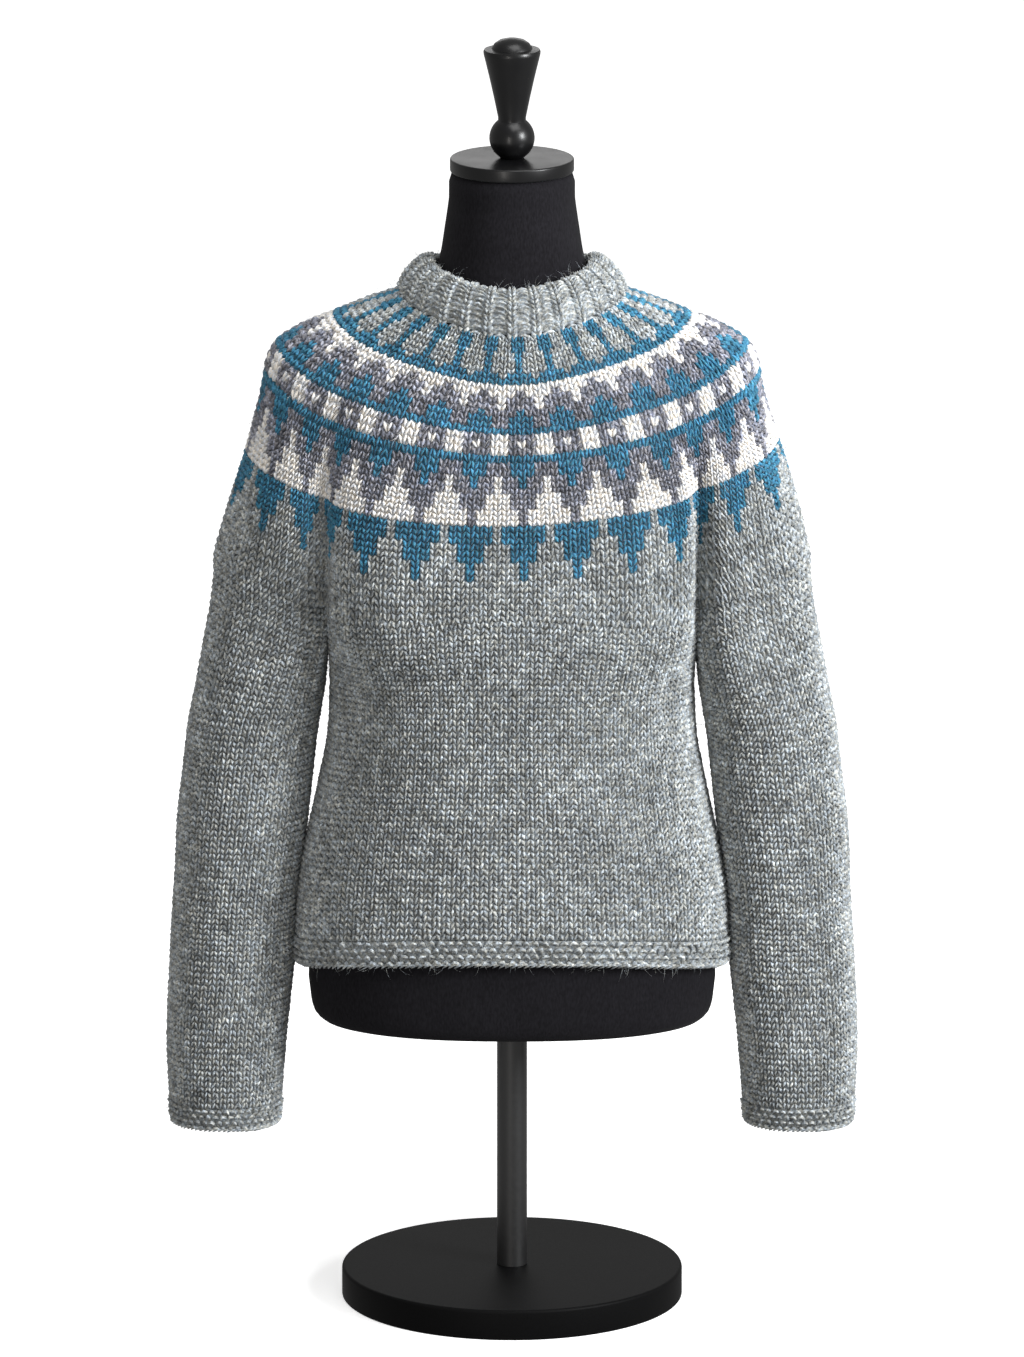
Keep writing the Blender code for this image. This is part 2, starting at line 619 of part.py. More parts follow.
def build_cap_and_finial(finish):
    """The turned cap on the neck and the finial that screws into it."""
    half = CAP_WIDTH / 2
    cap_profile = (
        (half - CAP_EDGE, 0.0),
        (half, CAP_EDGE),
        (half, CAP_HEIGHT - CAP_EDGE),
        (half - CAP_EDGE, CAP_HEIGHT),
    )
    cap_bottom = FORM_TOP + GAP
    add_solid_of_rings("neck_cap", turned_rings(cap_profile, cap_bottom, 40), finish)
    lowest = math.asin((FINIAL_FOOT[-1][0]) / BALL_RADIUS)
    highest = math.asin(FINIAL_NECK / BALL_RADIUS)
    ball = []
    for i in range(11):
        turn = lowest + (math.pi - highest - lowest) * i / 10
        ball.append((BALL_RADIUS * math.sin(turn), BALL_MIDDLE - BALL_RADIUS * math.cos(turn)))
    profile = FINIAL_FOOT[:1] + tuple(ball) + FINIAL_STEM + ((0.0022, FINIAL_HEIGHT),)
    finial_bottom = cap_bottom + CAP_HEIGHT + GAP
    add_solid_of_rings("finial", turned_rings(profile, finial_bottom, 28), finish)


def main():
    for old in list(bpy.data.objects):
        bpy.data.objects.remove(old)
    heather = material("light_heather_wool", (0.33, 0.36, 0.36), 0.95)
    patterned = material("patterned_yoke_wool", (0.22, 0.31, 0.36), 0.95)
    ribbed = material("ribbed_heather_wool", (0.34, 0.37, 0.37), 0.95)
    garter = material("garter_heather_wool", (0.31, 0.34, 0.34), 0.95)
    jersey = material("charcoal_jersey", (0.024, 0.023, 0.026), 0.9)
    lacquer = material("satin_black_lacquer", (0.012, 0.012, 0.013), 0.38)
    steel = material("satin_black_steel", (0.014, 0.014, 0.015), 0.42)

    yoke_outer = build_yoke(patterned)
    build_neckband(yoke_outer, ribbed)
    body_outer, body_inner = build_body(heather)
    build_hem(body_outer, body_inner, garter)
    build_sleeve(-1, "sleeve_left", "cuff_left", LEFT_TROUGHS, heather, garter)
    build_sleeve(1, "sleeve_right", "cuff_right", RIGHT_TROUGHS, heather, garter)
    build_form(yoke_outer, jersey)
    build_stand(steel)
    build_cap_and_finial(lacquer)


if __name__ == "__main__":
    main()
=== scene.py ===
import math

import bmesh
import bpy
import numpy as np
from mathutils import Matrix, Vector


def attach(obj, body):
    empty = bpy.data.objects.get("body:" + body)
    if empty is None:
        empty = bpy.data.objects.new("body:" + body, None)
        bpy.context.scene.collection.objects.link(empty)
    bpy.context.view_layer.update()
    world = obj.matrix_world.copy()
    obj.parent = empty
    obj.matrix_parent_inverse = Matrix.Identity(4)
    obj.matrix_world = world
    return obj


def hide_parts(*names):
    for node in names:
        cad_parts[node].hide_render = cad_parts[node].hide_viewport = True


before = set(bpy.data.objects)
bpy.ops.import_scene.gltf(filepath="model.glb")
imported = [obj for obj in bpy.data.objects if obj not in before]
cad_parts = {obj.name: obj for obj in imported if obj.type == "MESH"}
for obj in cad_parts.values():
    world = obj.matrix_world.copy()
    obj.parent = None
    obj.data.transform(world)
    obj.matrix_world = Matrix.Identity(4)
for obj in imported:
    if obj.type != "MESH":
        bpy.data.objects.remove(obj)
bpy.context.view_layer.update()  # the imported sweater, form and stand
print("frame loaded:", len(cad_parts), "nodes")

# Places on the knitting are in stitches round and rows up, and lengths are in metres.
knit = {
    "frontStitches": 50,  # armpit to armpit across the front, and across the back
    "sleeveStitches": 34,  # armpit to armpit round the outside of a sleeve
    "underarmStitches": 11,
    "bodyRows": 54,
    "sleeveRows": 88,
    "yokeRows": 48,
    "wall": 0.0033,  # full thickness of the fabric
    "ground": 0.0012,  # the plain layer lies this far under the stitches
    "seed": 11,
}
yokeStitches = 2 * (knit["frontStitches"] + knit["sleeveStitches"])
bodyStitches = 2 * (knit["frontStitches"] + knit["underarmStitches"])
cuffStitches = knit["sleeveStitches"] + knit["underarmStitches"]
armpitX = 0.1675
armpitDepth = 0.044
joinShare = 0.3

# row, front z, armpit z, side z, back z, lift, half width, front, back, armpit, lobe, crease
yokeLevels = np.array((
    (0, 0.665, 0.657, 0.700, 0.672, 0.000, 0.2690, 0.1260, 0.1160, 0.044, 0.062, 1.00),
    (7, 0.702, 0.717, 0.751, 0.714, 0.005, 0.2555, 0.1255, 0.1160, 0.062, 0.077, 0.95),
    (16, 0.752, 0.772, 0.799, 0.770, 0.005, 0.2405, 0.1230, 0.1145, 0.076, 0.086, 0.75),
    (25, 0.797, 0.817, 0.846, 0.818, 0.001, 0.2270, 0.1195, 0.1120, 0.080, 0.086, 0.40),
    (31, 0.835, 0.863, 0.893, 0.860, 0.000, 0.2145, 0.1160, 0.1090, 0.080, 0.084, 0.12),
    (35, 0.856, 0.886, 0.910, 0.884, 0.000, 0.1890, 0.1120, 0.1060, 0.080, 0.084, 0.03),
    (39, 0.879, 0.902, 0.921, 0.909, 0.000, 0.1625, 0.1080, 0.1020, 0.080, 0.084, 0.00),
    (44, 0.9025, 0.921, 0.934, 0.936, 0.000, 0.1300, 0.1015, 0.0965, 0.080, 0.084, 0.00),
    (48, 0.9205, 0.934, 0.943, 0.953, 0.000, 0.1025, 0.0950, 0.0910, 0.080, 0.084, 0.00),
))
# stitch, share of x, share of y: front middle to armpit, then armpit to the sleeve's outer edge
chestKeys = ((0, 0.0, 1.0), (8, 0.39, 0.965), (15, 0.73, 0.82), (21, 0.955, 0.43), (25, 1.0, 0.0))
lobeKeys = ((28, 0.19, 1.0), (32, 0.46, 0.98), (37, 0.81, 0.72), (42, 1.0, 0.0))
# share of height, side z, front z, back z, half width, front, back
bodyLevels = np.array((
    (0.00, 0.344, 0.367, 0.352, 0.1965, 0.1215, 0.1140),
    (0.14, 0.388, 0.409, 0.397, 0.1935, 0.1215, 0.1130),
    (0.26, 0.424, 0.444, 0.433, 0.1880, 0.1205, 0.1120),
    (0.38, 0.462, 0.480, 0.471, 0.1795, 0.1195, 0.1110),
    (0.48, 0.493, 0.509, 0.502, 0.1730, 0.1195, 0.1110),
    (0.58, 0.525, 0.540, 0.534, 0.1668, 0.1205, 0.1120),
    (0.72, 0.570, 0.583, 0.579, 0.1640, 0.1230, 0.1140),
    (0.86, 0.613, 0.624, 0.623, 0.1632, 0.1250, 0.1155),
    (1.00, 0.657, 0.665, 0.672, 0.1670, 0.1260, 0.1160),
))
# share of height, z, inner x, outer x, front, back
sleeveLevels = np.array((
    (0.00, 0.187, 0.2125, 0.3120, 0.0450, 0.0410),
    (0.12, 0.242, 0.2080, 0.3140, 0.0480, 0.0430),
    (0.27, 0.320, 0.2000, 0.3110, 0.0490, 0.0440),
    (0.39, 0.374, 0.1975, 0.3080, 0.0495, 0.0450),
    (0.52, 0.438, 0.1890, 0.3050, 0.0505, 0.0470),
    (0.69, 0.522, 0.1797, 0.2955, 0.0530, 0.0510),
    (0.79, 0.570, 0.1743, 0.2910, 0.0560, 0.0540),
    (0.90, 0.622, 0.1710, 0.2890, 0.0600, 0.0570),
    (1.00, 0.672, 0.1680, 0.2740, 0.0640, 0.0600),
))
# soft creases: stitch, share of height, reach in stitches, reach in height, depth
bodyTroughs = (
    (-21, 0.80, 3.0, 0.16, 0.0050),
    (20, 0.76, 2.6, 0.13, 0.0042),
    (-13, 0.16, 4.5, 0.15, 0.0035),
    (9, 0.10, 5.5, 0.12, 0.0030),
    (40, 0.78, 3.0, 0.15, 0.0048),
    (81, 0.74, 3.4, 0.14, 0.0045),
    (57, 0.14, 6.0, 0.14, 0.0034),
)
sleeveTroughs = {
    -1: ((9, 0.88, 3.0, 0.12, 0.0040), (12, 0.47, 5.0, 0.06, 0.0030),
         (24, 0.55, 4.0, 0.08, 0.0034), (7, 0.13, 3.4, 0.07, 0.0026)),
    1: ((8, 0.90, 3.2, 0.10, 0.0042), (11, 0.40, 4.6, 0.07, 0.0028),
        (25, 0.50, 4.2, 0.07, 0.0032), (6, 0.18, 3.0, 0.08, 0.0028)),
}


def smoothStep(x):
    x = np.clip(x, 0.0, 1.0)
    return x * x * (3.0 - 2.0 * x)


def curveThrough(knots, values, at):
    knots = np.asarray(knots, float)
    values = np.asarray(values, float)
    at = np.asarray(at, float)
    slopes = np.gradient(values, knots, axis=0)
    k = np.clip(np.searchsorted(knots, at, side="right") - 1, 0, len(knots) - 2)
    span = knots[k + 1] - knots[k]
    u = (at - knots[k]) / span
    extra = (1,) * (values.ndim - 1)
    u = u.reshape(u.shape + extra)
    span = span.reshape(span.shape + extra)
    u2 = u * u
    u3 = u2 * u
    low = (2 * u3 - 3 * u2 + 1) * values[k] + (u3 - 2 * u2 + u) * span * slopes[k]
    return low + (3 * u2 - 2 * u3) * values[k + 1] + (u3 - u2) * span * slopes[k + 1]


def closedCurve(knots, values, period, at):
    knots = np.asarray(knots, float)
    values = np.asarray(values, float)
    around = np.concatenate([knots[-3:] - period, knots, knots[:3] + period])
    repeated = np.concatenate([values[-3:], values, values[:3]])
    start = knots[0]
    return curveThrough(around, repeated, (np.asarray(at, float) - start) % period + start)


def levelAt(levels, knot):
    return curveThrough(levels[:, 0], levels, np.array([knot]))[0]


def ovalQuarter(halfWidth, depth, exponent, shares):
    angle = np.linspace(0.0, math.pi / 2, 241)
    x = halfWidth * np.sin(angle) ** (2 / exponent)
    y = -depth * np.abs(np.cos(angle)) ** (2 / exponent)
    y[-1] = 0.0
    length = np.concatenate([[0.0], np.cumsum(np.hypot(np.diff(x), np.diff(y)))])
    at = np.asarray(shares) * length[-1]
    return np.stack([np.interp(at, length, x), np.interp(at, length, y)], axis=-1)


def ovalRing(halfWidth, front, back, exponent, around):
    around = np.asarray(around, float) % 1.0
    behind = (around > 0.25) & (around < 0.75)
    fromMiddle = np.where(around > 0.5, 1.0 - around, around)
    quarter = np.where(behind, 0.5 - fromMiddle, fromMiddle) * 4
    aheadXy = ovalQuarter(halfWidth, front, exponent, quarter)
    behindXy = ovalQuarter(halfWidth, back, exponent, quarter) * (1, -1)
    xy = np.where(behind[:, None], behindXy, aheadXy)
    xy[around > 0.5, 0] *= -1
    return xy


def ringQuarter(level, depth):
    halfWidth, armpit, lobe, crease = level[6], level[9], level[10], level[11]
    stitches = np.array([key[0] for key in chestKeys + lobeKeys])
    smooth = ovalQuarter(halfWidth, depth, 2.06, stitches / (yokeStitches / 4))
    pinched = [(key[1] * armpitX, -armpit - key[2] * (depth - armpit)) for key in chestKeys]
    pinched += [(armpitX + key[1] * (halfWidth - armpitX), -key[2] * lobe) for key in lobeKeys]
    return stitches, smooth + crease * (np.array(pinched) - smooth)


def yokeRing(row, stitches):  # one round of the yoke, front middle towards +X
    level = levelAt(yokeLevels, row)
    at, ahead = ringQuarter(level, level[7])
    behind = ringQuarter(level, level[8])[1]
    half = yokeStitches / 2
    knots = list(at) + [half - s for s in at[-2::-1]]
    points = list(ahead) + [(x, -y) for x, y in behind[-2::-1]]
    knots += [yokeStitches - s for s in knots[-2:0:-1]]
    points += [(-x, y) for x, y in points[-2:0:-1]]
    xy = closedCurve(knots, points, yokeStitches, stitches)
    armpit = knit["frontStitches"] / 2
    side = yokeStitches / 4
    zKnots = [0, armpit, side, half - armpit, half, half + armpit, half + side, yokeStitches - armpit]
    heights = level[[1, 2, 3, 2, 4, 2, 3, 2]]
    z = closedCurve(zKnots, heights, yokeStitches, stitches)
    z += level[5] * np.sin(np.asarray(stitches) * 2 * math.pi / yokeStitches)
    return np.column_stack([xy, z])


def underarmStrip(side, shares):
    y = -armpitDepth + 2 * armpitDepth * np.asarray(shares)
    return np.column_stack([np.full_like(y, side * armpitX), y, np.full_like(y, yokeLevels[0][2])])


def easedHeight(xy, sideZ, frontZ, backZ, front, back):
    ahead = xy[:, 1] < 0
    middleZ = np.where(ahead, frontZ, backZ)
    depth = np.where(ahead, front, back)
    return sideZ + (middleZ - sideZ) * np.clip(np.abs(xy[:, 1]) / depth, 0.0, 1.0) ** 1.75


def layIn(troughs, stitches, share, period):
    depth = np.zeros(len(stitches))
    for stitch, middle, stitchReach, shareReach, most in troughs:
        away = (np.asarray(stitches, float) - stitch + period / 2) % period - period / 2
        depth += most * np.exp(-((away / stitchReach) ** 2) - ((share - middle) / shareReach) ** 2)
    return depth * min(1.0, share * 12, (1.0 - share) * 12)


def pushIn(ring, depth):  # moves a ring inwards along its own level normals
    along = np.roll(ring, -1, axis=0) - np.roll(ring, 1, axis=0)
    away = np.column_stack([along[:, 1], -along[:, 0]])
    away /= np.linalg.norm(away, axis=1, keepdims=True) + 1e-12
    moved = ring.copy()
    moved[:, :2] -= away * depth[:, None]
    return moved


def bodyRing(share, stitches):  # one round of the body, front middle towards +X
    stitches = np.asarray(stitches, float) % bodyStitches
    _, sideZ, frontZ, backZ, halfWidth, front, back = levelAt(bodyLevels, share)
    xy = ovalRing(halfWidth, front, back, 2.45, stitches / bodyStitches)
    below = np.column_stack([xy, easedHeight(xy, sideZ, frontZ, backZ, front, back)])
    joined = below.copy()
    half = knit["frontStitches"] / 2
    backStart = half + knit["underarmStitches"]
    ahead = (stitches <= half) | (stitches >= bodyStitches - half)
    behind = (stitches >= backStart) & (stitches <= backStart + knit["frontStitches"])
    right = (stitches > half) & (stitches < backStart)
    left = ~(ahead | behind | right)
    signed = np.where(stitches > bodyStitches / 2, stitches - bodyStitches, stitches)
    joined[ahead] = yokeRing(0, signed[ahead])
    joined[behind] = yokeRing(0, stitches[behind] - knit["underarmStitches"] + knit["sleeveStitches"])
    joined[right] = underarmStrip(1, (stitches[right] - half) / knit["underarmStitches"])
    joined[left] = underarmStrip(-1, (-half - signed[left]) / knit["underarmStitches"])
    top = bodyLevels[-1]
    joined[:, 2] += below[:, 2] - easedHeight(xy, top[1], top[2], top[3], top[5], top[6])
    ring = below + smoothStep((share - 1.0 + joinShare) / joinShare) * (joined - below)
    return pushIn(ring, layIn(bodyTroughs, stitches, share, bodyStitches))


def sleeveRing(side, share, stitches):  # one round of a sleeve, armpit front round the outside
    stitches = np.asarray(stitches, float) % cuffStitches
    _, z, inner, outer, front, back = levelAt(sleeveLevels, share)
    around = (stitches - knit["sleeveStitches"] / 2) / cuffStitches + 0.25
    xy = ovalRing((outer - inner) / 2, front, back, 2.25, around)
    xy[:, 0] += (outer + inner) / 2
    below = np.column_stack([xy, np.full(len(xy), z)])
    joined = below.copy()
    outside = stitches <= knit["sleeveStitches"]
    joined[outside] = yokeRing(0, knit["frontStitches"] / 2 + stitches[outside])
    stripShare = 1.0 - (stitches[~outside] - knit["sleeveStitches"]) / knit["underarmStitches"]
    joined[~outside] = underarmStrip(1, stripShare)
    joined[:, 2] += z - sleeveLevels[-1][1]
    ring = below + smoothStep((share - 1.0 + joinShare) / joinShare) * (joined - below)
    ring = pushIn(ring, layIn(sleeveTroughs[side], stitches, share, cuffStitches))
    ring[:, 0] *= side
    return ring


def linear(hexColour):  # sRGB hex to linear colour
    parts = [int(hexColour[i:i + 2], 16) / 255 for i in (1, 3, 5)]
    return tuple(c / 12.92 if c <= 0.04045 else ((c + 0.055) / 1.055) ** 2.4 for c in parts) + (1.0,)


def addNode(tree, kind, settings=None, inputs=None, links=None):
    node = tree.nodes.new(kind)
    for name, value in (settings or {}).items():
        setattr(node, name, value)
    for name, value in (inputs or {}).items():
        node.inputs[name].default_value = value
    for name, output in (links or {}).items():
        tree.links.new(output, node.inputs[name])
    return node


def noiseAt(tree, place, size, detail):
    inputs = {"Scale": 1 / size, "Detail": detail}
    return addNode(tree, "ShaderNodeTexNoise", None, inputs, {"Vector": place}).outputs[0]


def calculate(tree, operation, *terms):  # each term is a number or a socket
    node = addNode(tree, "ShaderNodeMath", {"operation": operation})
    for i, term in enumerate(terms):
        if isinstance(term, (int, float)):
            node.inputs[i].default_value = term
        else:
            tree.links.new(term, node.inputs[i])
    return node.outputs[0]


def rampOf(tree, value, low, high):  # low and high are each a position and a colour
    ramp = addNode(tree, "ShaderNodeValToRGB", None, None, {"Fac": value})
    for element, (position, colour) in zip(ramp.color_ramp.elements, (low, high)):
        element.position = position
        element.color = colour
    return ramp.outputs["Color"]


def addBump(tree, shader, height, strength, distance):
    inputs = {"Strength": strength, "Distance": distance}
    bump = addNode(tree, "ShaderNodeBump", None, inputs, {"Height": height})
    tree.links.new(bump.outputs["Normal"], shader.inputs["Normal"])


yarns = {  # colour and how strongly its fibres vary
    "g": ("#A8ADAD", 0.95),  # light grey heather: light, dark and bluish fibres
    "b": ("#437F9B", 0.85),  # blue heather
    "w": ("#F1F0EC", 0.16),  # natural cream
    "c": ("#8B8D96", 1.20),  # charcoal with violet and light fibres
}


def newMaterial(name, roughness, sockets):
    material = bpy.data.materials.new(name)
    material.use_nodes = True
    shader = material.node_tree.nodes["Principled BSDF"]
    shader.inputs["Roughness"].default_value = roughness
    for socket, value in sockets.items():
        shader.inputs[socket].default_value = value
    return material, material.node_tree, shader


def makeWool(name, depth):
    # Thick carded wool, barely twisted: matt, hairy, with fibres of several shades in one yarn.
    look = {
        "fleck": 0.0021, "streak": 0.0075, "patch": 0.045, "fibre": 0.0006,  # sizes
        "contrast": 3.4, "lightest": 1.9,
    }
    material, tree, shader = newMaterial(name, 0.93, {
        "Sheen Weight": 0.22, "Sheen Roughness": 0.45, "Sheen Tint": (0.95, 0.97, 1.0, 1.0),
        "Specular IOR Level": 0.12,
    })
    yarn = addNode(tree, "ShaderNodeAttribute", {"attribute_name": "yarn"})
    fleck = addNode(tree, "ShaderNodeAttribute", {"attribute_name": "fleck"})
    place = addNode(tree, "ShaderNodeTexCoord").outputs["Object"]
    total = None
    for size, weight, detail in (("fleck", 0.95, 3.0), ("streak", 0.55, 2.0), ("patch", 0.16, 1.0)):
        centred = calculate(tree, "SUBTRACT", noiseAt(tree, place, look[size], detail), 0.5)
        weighted = calculate(tree, "MULTIPLY", centred, weight * look["contrast"])
        total = weighted if total is None else calculate(tree, "ADD", total, weighted)
    value = calculate(tree, "EXPONENT", calculate(tree, "MULTIPLY", total, fleck.outputs["Fac"]))
    limited = calculate(tree, "MINIMUM", value, look["lightest"])
    cool, warm = (0.38, (0.93, 0.97, 1.06, 1.0)), (0.62, (1.06, 1.0, 0.93, 1.0))
    tint = rampOf(tree, noiseAt(tree, place, 0.0033, 1.0), cool, warm)
    tinted = addNode(tree, "ShaderNodeMix", {"data_type": "RGBA", "blend_type": "MULTIPLY"}, {0: 1.0},
                     {6: yarn.outputs["Color"], 7: tint})
    shaded = addNode(tree, "ShaderNodeVectorMath", {"operation": "SCALE"}, None,
                     {0: tinted.outputs[2], "Scale": limited})
    # painted shade: the colour is scaled by depth, 0.74 for the ground between the stitches and 1.0 for the
    # stitches
    shadePaintedColour = addNode(tree, "ShaderNodeVectorMath", {"operation": "SCALE"}, {"Scale": depth},
                     {0: shaded.outputs[0]})
    tree.links.new(shadePaintedColour.outputs[0], shader.inputs["Base Color"])
    addBump(tree, shader, noiseAt(tree, place, look["fibre"], 2.0), 0.5, 0.0004)
    return material


def makeJersey():
    # Fine knitted cotton jersey stretched over a padded form: matt near-black with a faint vertical grain.
    material, tree, shader = newMaterial("charcoal_cotton_jersey", 0.9, {
        "Sheen Weight": 0.03, "Sheen Roughness": 0.5, "Specular IOR Level": 0.10,
    })
    place = addNode(tree, "ShaderNodeTexCoord").outputs["Object"]
    # real jersey columns are 0.8 mm apart, drawn at 1.6 mm so that they show
    stretch = addNode(tree, "ShaderNodeMapping", None, {"Scale": (1.0, 1.0, 0.35)}, {"Vector": place})
    grain = noiseAt(tree, stretch.outputs[0], 0.0016, 2.0)
    mixed = calculate(tree, "MULTIPLY_ADD", noiseAt(tree, place, 0.05, 3.0), 0.35, grain)
    colour = rampOf(tree, mixed, (0.45, linear("#131215")), (0.90, linear("#1F1E22")))
    tree.links.new(colour, shader.inputs["Base Color"])
    addBump(tree, shader, grain, 0.35, 0.0004)
    return material


def makePaint(name, dark, light, roughness, grainSize, coat, shine):
    # Sprayed or dipped black paint: a fine grain varies its shade and its gloss.
    material, tree, shader = newMaterial(name, roughness, {
        "Coat Weight": coat, "Coat Roughness": 0.18, "Specular IOR Level": shine,
    })
    place = addNode(tree, "ShaderNodeTexCoord").outputs["Object"]
    grain = noiseAt(tree, place, grainSize, 3.0)
    colour = rampOf(tree, grain, (0.3, linear(dark)), (0.7, linear(light)))
    tree.links.new(colour, shader.inputs["Base Color"])
    rough = addNode(tree, "ShaderNodeMapRange", None,
                    {"To Min": roughness - 0.06, "To Max": roughness + 0.08}, {"Value": grain})
    tree.links.new(rough.outputs[0], shader.inputs["Roughness"])
    addBump(tree, shader, grain, 0.12, 0.0003)
    return material


wool = makeWool("heathered_plain_wool", 1.0)
woolGroundPaintedShade = makeWool("heathered_wool_between_stitches", 0.74)  # painted shade: the wool colour scaled to 0.74 where it lies between and under the stitches
jersey = makeJersey()
lacquer = makePaint("satin_black_lacquer_on_turned_wood", "#08080A", "#0C0C0D", 0.34, 0.02, 0.12, 0.38)
steel = makePaint("matt_black_powder_coated_steel", "#0A0A0A", "#0F0F10", 0.50, 0.0012, 0.0, 0.06)
tubePaint = makePaint("satin_black_enamelled_tube", "#0B0B0C", "#101011", 0.42, 0.004, 0.0, 1.0)
print("materials made")


def ringFaces(rings, columns, closedSection):
    faces = []
    last = rings if closedSection else rings - 1
    for i in range(last):
        low = i * columns
        high = (i + 1) % rings * columns
        for j in range(columns):
            k = (j + 1) % columns
            faces.append((low + j, low + k, high + k, high + j))
    return faces


def putInScene(name, data):
    made = bpy.data.objects.new(name, data)
    bpy.context.scene.collection.objects.link(made)
    return made


def meshObject(name, points, faces, material, sharpAbove=None):
    mesh = bpy.data.meshes.new(name)
    mesh.from_pydata([tuple(p) for p in np.asarray(points, float).tolist()], [], faces)
    work = bmesh.new()
    work.from_mesh(mesh)
    bmesh.ops.recalc_face_normals(work, faces=work.faces)
    work.to_mesh(mesh)
    work.free()
    mesh.shade_smooth()
    if sharpAbove:
        mesh.set_sharp_from_angle(angle=math.radians(sharpAbove))
    if material:
        mesh.materials.append(material)
    made = putInScene(name, mesh)
    return made


def gridNormals(grid):
    along = np.roll(grid, -1, axis=1) - np.roll(grid, 1, axis=1)
    normals = np.cross(along, np.gradient(grid, axis=0))
    normals /= np.linalg.norm(normals, axis=2, keepdims=True)
    away = grid - grid.mean(axis=1, keepdims=True)
    return normals if (normals * away).sum() > 0 else -normals


def clothTube(name, grid, material, innerStep, colours, flecks):
    # A closed wall from a fine outer grid and a coarser inner one, both ends open.
    normals = gridNormals(grid)
    outer = grid - normals * knit["ground"]
    inner = (grid - normals * knit["wall"])[::innerStep]
    if (len(grid) - 1) % innerStep:
        inner = np.concatenate([inner, (grid - normals * knit["wall"])[-1:]])
    rings = np.concatenate([outer, inner[::-1]])
    columns = grid.shape[1]
    tube = meshObject(name, rings.reshape(-1, 3), ringFaces(len(rings), columns, True), material)
    paintFaces(tube, grid, colours, flecks)
    return tube


def paintFaces(tube, grid, colours, flecks):
    faces = len(tube.data.polygons)
    columns = grid.shape[1]
    shades = np.tile(np.array(linear(yarns["g"][0])), (faces, 1))
    amounts = np.ones(faces)
    outside = np.zeros(faces, bool)
    shown = (len(grid) - 1) * columns
    outside[:shown] = True
    if colours is not None:
        shades[:shown] = colours.reshape(-1, 4)
        amounts[:shown] = flecks.reshape(-1)
    for label, kind, field, values in (
        ("yarn", "FLOAT_COLOR", "color", shades),
        ("fleck", "FLOAT", "value", amounts),
        ("outside", "FLOAT", "value", outside),
    ):
        layer = tube.data.attributes.new(label, kind, "FACE")
        layer.data.foreach_set(field, values.astype(np.float32).ravel())


def turnedRings(profile, baseZ, columns):
    angle = np.linspace(0.0, 2 * math.pi, columns, endpoint=False)
    around = np.column_stack([np.cos(angle), np.sin(angle), np.zeros(columns)])
    return [around * r + np.array((0.0, 0.0, baseZ + h)) for r, h in profile]


def solidOfRings(name, rings, material, sharpAbove):
    rings = np.asarray(rings)
    count, columns = rings.shape[:2]
    faces = ringFaces(count, columns, False)
    faces.append(tuple(range(columns)))
    faces.append(tuple((count - 1) * columns + j for j in range(columns)))
    return meshObject(name, rings.reshape(-1, 3), faces, material, sharpAbove)


# One stitch, one purl bump and one hair follow, in units of a stitch's width, a row's height and 1 mm.


def tubeAlong(lines, radii, sides):  # closed tapering tubes, each with a tip at both ends
    points, faces = [], []
    for line, radius in zip(lines, radii):
        start = len(points)
        line = np.array(line, float)
        for i in range(1, len(line) - 1):
            forward = line[i + 1] - line[i - 1]
            forward[2] *= 0.3
            forward /= np.linalg.norm(forward)
            sideways = np.cross(forward, (0, 0, 1))
            sideways /= np.linalg.norm(sideways)
            for k in range(sides):
                turn = math.pi / 2 + 2 * math.pi * k / sides
                across = sideways * (math.cos(turn) * radius[i][0])
                points.append(line[i] + across + np.array((0, 0, math.sin(turn) * radius[i][1])))
        rings = len(line) - 2
        for i in range(rings - 1):
            for k in range(sides):
                a = start + i * sides + k
                b = start + i * sides + (k + 1) % sides
                faces.append((a, b, b + sides, a + sides))
        points.append(line[0])
        points.append(line[-1])
        for k in range(sides):
            a = start + k
            b = start + (k + 1) % sides
            faces.append((b, a, len(points) - 2))
            top = start + (rings - 1) * sides
            faces.append((top + k, top + (k + 1) % sides, len(points) - 1))
    return points, faces


vStitch = {"foot": 0.05, "spread": 0.37, "fat": 0.30, "proud": 1.8, "reach": 0.84}
legLine = (
    (vStitch["foot"], -0.76, -1.1),
    (vStitch["foot"] + vStitch["spread"] * 0.16, -0.40, 0.1),
    (vStitch["foot"] + vStitch["spread"] * 0.54, 0.08, 0.8),
    (vStitch["foot"] + vStitch["spread"] * 0.87, 0.47, 0.4),
    (vStitch["foot"] + vStitch["spread"], vStitch["reach"], -1.2),
)
legRadii = ((0, 0), (0.165, 1.2), (vStitch["fat"], vStitch["proud"]), (0.20, 1.5), (0, 0))
mirroredLine = tuple((-x, y, z) for x, y, z in legLine)
stitchMesh = meshObject("knit_stitch", *tubeAlong((legLine, mirroredLine), (legRadii, legRadii), 3), None)
bumpLine = (
    (-0.56, -0.50, -1.0), (-0.33, -0.06, 0.4), (0.0, 0.24, 0.9), (0.33, -0.06, 0.4), (0.56, -0.50, -1.0),
)
bumpRadii = ((0, 0), (0.25, 1.5), (0.29, 1.9), (0.25, 1.5), (0, 0))


def bumpTube():  # a purl bump lies across the column, so its tube runs along X
    points, faces = [], []
    for i in range(1, 4):
        x, y, z = bumpLine[i]
        for k in range(4):
            turn = math.pi / 2 * k
            points.append((x, y + math.cos(turn) * bumpRadii[i][0], z + math.sin(turn) * bumpRadii[i][1]))
    for i in range(2):
        for k in range(4):
            a = i * 4 + k
            b = i * 4 + (k + 1) % 4
            faces.append((a, b, b + 4, a + 4))
    points += [bumpLine[0], bumpLine[-1]]
    for k in range(4):
        faces.append(((k + 1) % 4, k, 12))
        faces.append((8 + k, 8 + (k + 1) % 4, 13))
    return points, faces


purlMesh = meshObject("purl_bump", *bumpTube(), None)
hairLine = np.array([(0, 0, 0), (0.10, 0.02, 0.38), (0.42, 0.0, 0.72), (1.0, -0.06, 0.88)])


